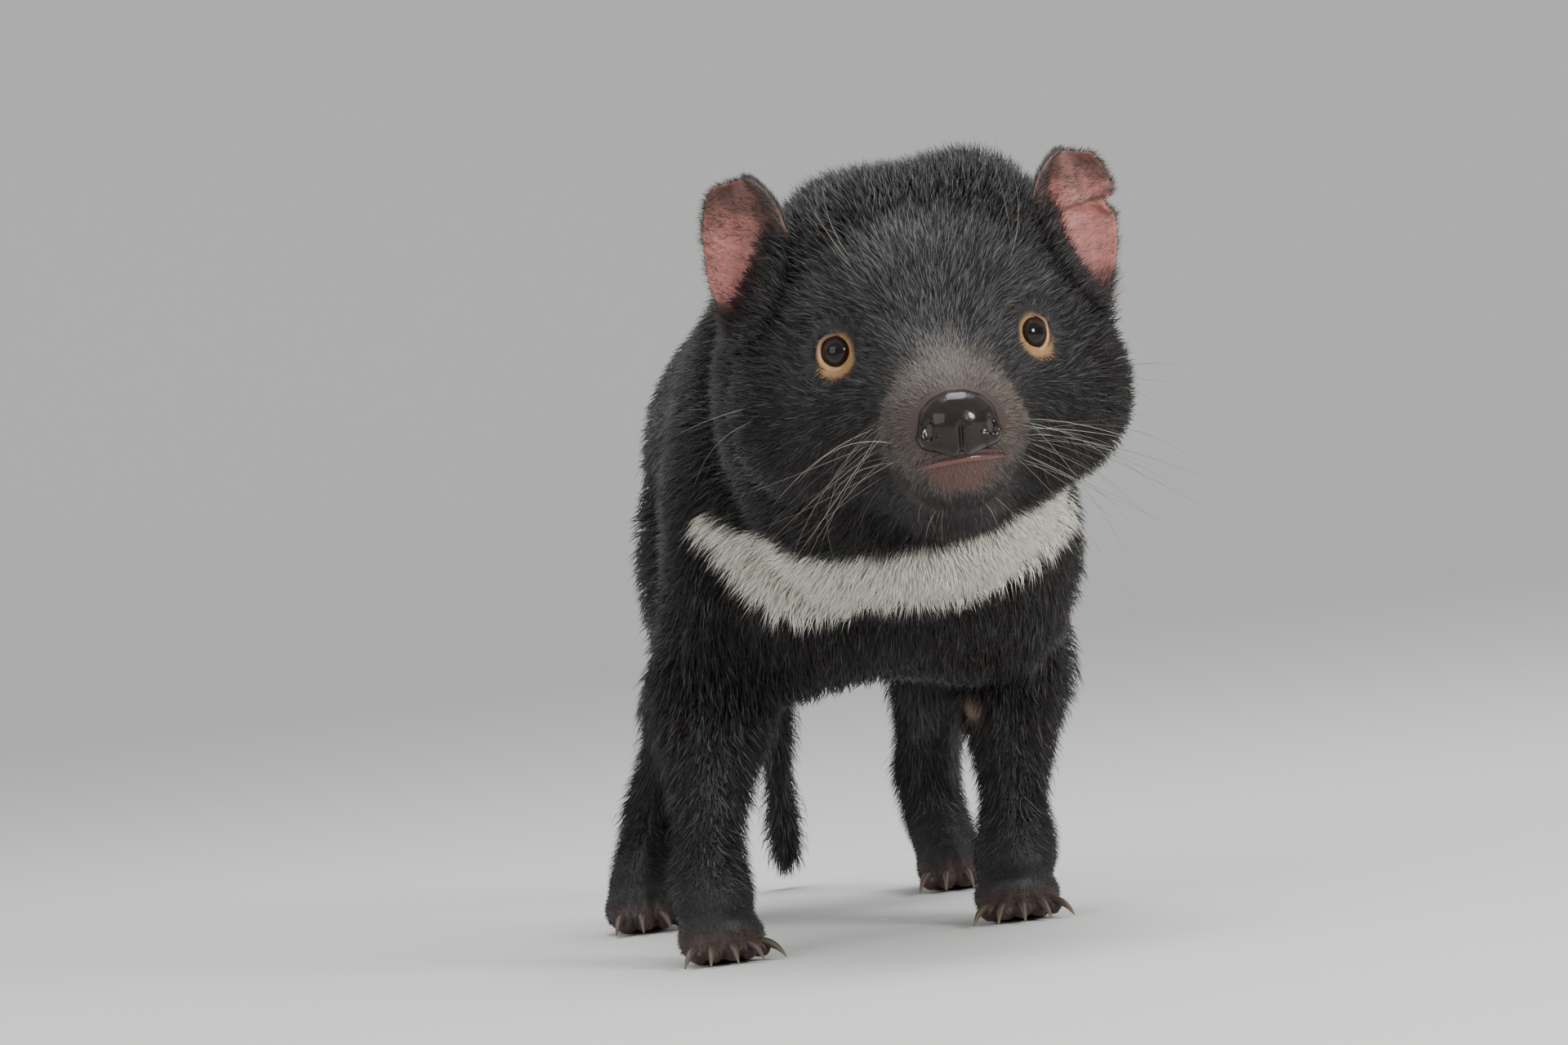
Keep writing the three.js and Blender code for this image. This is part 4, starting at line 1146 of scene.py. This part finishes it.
def ear_tone(points, normals, side):
    """Pink inside, brown beside the head and at the top, black behind, with painted shade in the cup, along
    the left ear's fold and in a hole high on the left ear.
    """
    across, up = in_ear(points, side)
    front = ramp(normals @ ear_facing(side), -0.15, 0.35)
    # Painted shade in the cup.
    hollow_shade = np.exp(-(((across - 0.05) / 0.45) ** 2) - ((up - 0.25) / 0.2) ** 2)
    edge = ramp(np.abs(across), 0.72, 1.0)
    # Painted shade along the fold.
    crease_shade = np.exp(-(((up - 0.615 - 0.1 * across) / 0.018) ** 2)) * EAR_LOBE[side]
    crease_shade = crease_shade * ramp(across, -0.8, -0.2)
    streak = 0.5 + 0.5 * waves(points, 5, 1.4)
    mottle = waves(points, 3.5, 0.2) * 0.12 + waves(points, 11, 2.9) * 0.12
    tint = PINK * (1 + 0.22 * streak + mottle - 0.35 * hollow_shade - 0.3 * edge)[:, None]
    beside = EAR_SHADE[side] - 0.5 - across + 0.4 * waves(points, 12, 0.6)
    tint = mix(tint, EAR_TOP, (EAR_SHADE[side] * ramp(beside, -0.1, 0.6))[:, None])
    tint = tint * (1 - 0.65 * crease_shade[:, None])
    top = (ramp(up + 0.06 * waves(points, 9, 2.1), 0.66, 0.9) * 0.7)[:, None]
    tint = mix(tint, EAR_TOP, top)
    # Painted shade of a hole high on the left ear.
    if side == "left":
        hole_shade = np.exp(-(((across + 0.28) / 0.05) ** 2) - ((up - 0.8) / 0.022) ** 2)[:, None]
        tint = mix(tint, EAR_HOLE_SHADE, hole_shade)
    return mix(BLACK * 2, tint, front[:, None])


def ear_hair(obj, side):
    """Sparse pale hair inside the ear, and short black hair behind it and round its root."""
    facing, outward = ear_facing(side), ear_outward(side)

    def density_of(points, normals):
        across, up = in_ear(points, side)
        front = normals @ facing
        inside = 1.5 + 4.6 * ramp(up, 0.5, 0.85) + 3.6 * (1 - ramp(up, 0.02, 0.3))
        inside += 4.0 * ramp(-across, 0.1, 0.8) + 2.6 * ramp(across, 0.55, 0.95)
        inside *= 1.3 + 0.9 * waves(points, 8, 2.2)
        return np.where(front > 0.2, inside, 3.2) * COAT_SHARE * (up > -0.12)

    points, normals = scatter(obj, density_of)
    count = len(points)
    across, up = in_ear(points, side)
    front = (normals @ facing) > 0.2
    lie = vec(0, 0, 1.0) + outward * (0.25 + 0.75 * across * up)[:, None]
    lie = np.where(front[:, None], vec(0, 0, 0.35) + outward, lie)
    lie = along_skin(lie + rng.normal(0, 0.22, (count, 3)), normals)
    base = 1 - ramp(up, 0.0, 0.3)
    length = np.where(front, 3.0 + 4.5 * base + 2.4 * ramp(-across, 0.3, 0.9), 3.2 + 3.2 * base)
    width = np.where(front, 0.17, 0.34) * 1.0
    lean = np.where(front, 14, 17) * vary(count, 0.6, 0.8)
    dark = rng.random((count, 1))
    inside_tone = EAR_HAIR * (0.2 + 1.0 * dark**2) * (1 - 0.6 * base[:, None])
    # The grey hairs behind the ear and the lighter tips are painted glints.
    outside_tone = np.where(dark > 0.7, GLINT_GREY * 0.45, BLACK * (0.8 + 1.2 * dark))
    colour = np.where(front[:, None], inside_tone, outside_tone)
    length = length * MM * vary(count, 0.65, 0.6)
    width = width * MM * vary(count, 0.75, 0.5)
    build_coat(f"coat_ear_{side}", points, normals, lie, length, width, lean, colour, colour * 1.5)


for side in SIDES:
    ear = rounded(f"ear_cup_{side}", f"ear_{side}", 0.45 * MM, 1.3, grow=0.42 * MM)
    shape_ear(ear, side)
    paint(ear, ear_tone(points_of(ear), normals_of(ear), side))
    finish_piece(ear, EAR_SKIN, "ear_skin", f"ear_{side}")
    ear_hair(ear, side)


# Whiskers and bristles
def bent_path(start, middle, end, count):
    """A curve from start to end, drawn towards the middle, and how far along it each point is."""
    t = np.linspace(0, 1, count)[:, None]
    return (1 - t) ** 2 * start + 2 * t * (1 - t) * middle + t**2 * end, t[:, 0]


def bristle(root, start, end, length, radius):
    """A thin hair that leaves its root one way and bends over to another."""
    middle = root + unit(start) * length * 0.5
    path, along = bent_path(root, middle, middle + unit(end) * length * 0.55, 11)
    return tube(path, radius * (1 - 0.85 * along**1.5), 4)


# Rows of bristles: centre and half spread in the head's millimetres, how many on each side, lengths,
# radius, and the ways they leave and end
BRISTLES = [
    ("whiskers", (14.5, -32, -31), (4, 11, 9), 25, (30, 78), 0.085, (0.85, 0.0, -0.2), (0.6, 0.55, -0.7)),
    ("brow_bristles", (20, -4, 13), (4, 3, 2), 4, (26, 42), 0.1, (0.25, -0.2, 0.9), (0.0, 0.5, 0.85)),
    ("cheek_bristles", (47, 14, -13), (3, 5, 4), 4, (22, 38), 0.085, (0.8, -0.1, -0.1), (0.6, 0.5, -0.45)),
    ("chin_bristles", (7, -24, -49), (5, 6, 2), 6, (8, 14), 0.09, (0.4, -0.4, -0.7), (0.3, 0.2, -0.9)),
]

BRISTLE_REACH = cad_high[0] + 8 * MM  # farthest to the side that a tip may be
BRISTLE_SINK = 1.0 * MM
BRISTLE_AHEAD_MM = 60  # how far outside the skin its root is looked for from


def way_in_head(side, way):
    return HEAD_X * side * way[0] + HEAD_Y * way[1] + HEAD_Z * way[2]


def add_bristles(name, centre, spread, count, lengths, radius, start, end):
    points, quads, ends, total = [], [], [], 0
    for side in (-1, 1):
        for _ in range(count):
            place = np.array(centre) + np.array(spread) * rng.uniform(-1, 1, 3)
            far = place + BRISTLE_AHEAD_MM * np.array(start)
            inside = from_head(side * place[0], place[1], place[2])
            hit = skin_hit(from_head(side * far[0], far[1], far[2]), inside)
            root = inside if hit is None else hit
            first = way_in_head(side, start) + rng.normal(0, 0.26, 3)
            last = way_in_head(side, end) + rng.normal(0, 0.42, 3)
            length = rng.uniform(*lengths) * MM
            foot = root - unit(first) * BRISTLE_SINK
            own = bristle(foot, first, last, length, radius * MM)
            reach = np.abs(own[0][:, 0]).max()
            if reach > BRISTLE_REACH:
                length *= (BRISTLE_REACH - abs(root[0])) / (reach - abs(root[0]))
                own = bristle(foot, first, last, length, radius * MM)
            points.append(own[0])
            quads.append(own[1] + total)
            ends.append(own[2] + total)
            total += len(own[0])
    obj = object_from(name, *(np.concatenate(parts) for parts in (points, quads, ends)))
    shade = np.repeat(0.08 + 0.65 * rng.random(count * 2) ** 2, total // (count * 2))
    paint(obj, WHISKER_TONE * shade[:, None])
    finish_piece(obj, WHISKER, "claw_horn")


for row in BRISTLES:
    add_bristles(*row)

# Claws
CLAW_SINK, CLAW_LIFT, CLAW_ARCH = 3.5 * MM, 0.4 * MM, 2.6 * MM
CLAW_RADIUS, CLAW_TIP_RADIUS = 1.55 * MM, 0.22 * MM
CLAW_SIDES = 12


def add_claw(name):
    """A curved, tapered claw whose root sits in its toe."""
    root, tip, _ = claw_line(name)
    ahead = unit((tip - root) * vec(1, 1, 0))
    start = root - ahead * CLAW_SINK + vec(0, 0, CLAW_LIFT)
    middle = (root + tip) / 2 + vec(0, 0, CLAW_ARCH)
    path, along = bent_path(start, middle, tip, 13)
    radii = CLAW_TIP_RADIUS + (CLAW_RADIUS - CLAW_TIP_RADIUS) * (1 - along**1.6)
    claw = object_from(f"{name}_horn", *tube(path, radii, CLAW_SIDES))
    paint(claw, CLAW_TONE * (0.65 + 0.9 * np.repeat(along, CLAW_SIDES)[:, None] ** 2))
    finish_piece(claw, CLAW, "claw_horn", name)


for name in CLAWS:
    add_claw(name)

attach(skin, "root")
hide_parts(*FLESH)

# Stage, light and camera
FLOOR_RADIUS, SWEEP_RADIUS, WALL_TOP, FLOOR_TURNS = 3.6, 1.6, 2.6, 96


def add_stage():
    """A pale floor that sweeps up into a round wall, open at the top."""
    bend = np.linspace(0, math.pi / 2, 17)
    rings = [(0.001, 0.0), (FLOOR_RADIUS / 2, 0.0)]
    for a in bend:
        rings.append((FLOOR_RADIUS + SWEEP_RADIUS * math.sin(a), SWEEP_RADIUS * (1 - math.cos(a))))
    rings.append((FLOOR_RADIUS + SWEEP_RADIUS, WALL_TOP))
    axes = (vec(0, 0, 1.0), vec(1.0, 0, 0), vec(0, 1.0, 0))
    floor = object_from("floor", *lathe(np.zeros(3), axes, rings, FLOOR_TURNS))
    floor.data.materials.append(add_bump(material("floor", 0.85, colour=FLOOR_TONE), 60, 0.04, 0.4))


add_stage()
world = bpy.data.worlds.new("studio")
bpy.context.scene.world = world
world.use_nodes = True
sky = world.node_tree.nodes["Background"].inputs
sky["Color"].default_value = (0.95, 0.97, 1.0, 1)
sky["Strength"].default_value = 0.75


def aim(obj, place, ahead, roll=0.0):
    """Puts a light or the camera at a place, looking along a direction."""
    obj.location = place
    obj.rotation_mode = "QUATERNION"
    obj.rotation_quaternion = ahead.to_track_quat("-Z", "Y") @ Quaternion((0, 0, 1), roll)


# Each light's name, place, watts and size
LIGHTS = [
    ("key", (0.95, -1.9, 0.85), 34, 0.5),
    ("fill", (-1.6, -1.3, 0.9), 10, 1.2),
    ("top", (0.2, 0.2, 1.9), 22, 1.0),
]
LIGHT_TARGET = Vector((0, -0.15, 0.14))
for name, place, watts, size in LIGHTS:
    light = bpy.data.lights.new(name, "AREA")
    light.energy = watts
    light.size = size
    aim(add_object(name, light), place, LIGHT_TARGET - Vector(place))

TARGET = Vector(BETWEEN_EYES) + Vector((-0.0415, 0.1025, -0.05))
AZIMUTH, ELEVATION, ROLL = math.radians(-6), math.radians(0.5), math.radians(-6.5)
DISTANCE = 2.505
camera_data = bpy.data.cameras.new("camera")
camera_data.lens = 180
camera_data.sensor_width = 36
camera = add_object("camera", camera_data)
bpy.context.scene.camera = camera
level = math.cos(ELEVATION)
back = Vector((math.sin(AZIMUTH) * level, -math.cos(AZIMUTH) * level, math.sin(ELEVATION)))
aim(camera, TARGET + back * DISTANCE, -back, ROLL)
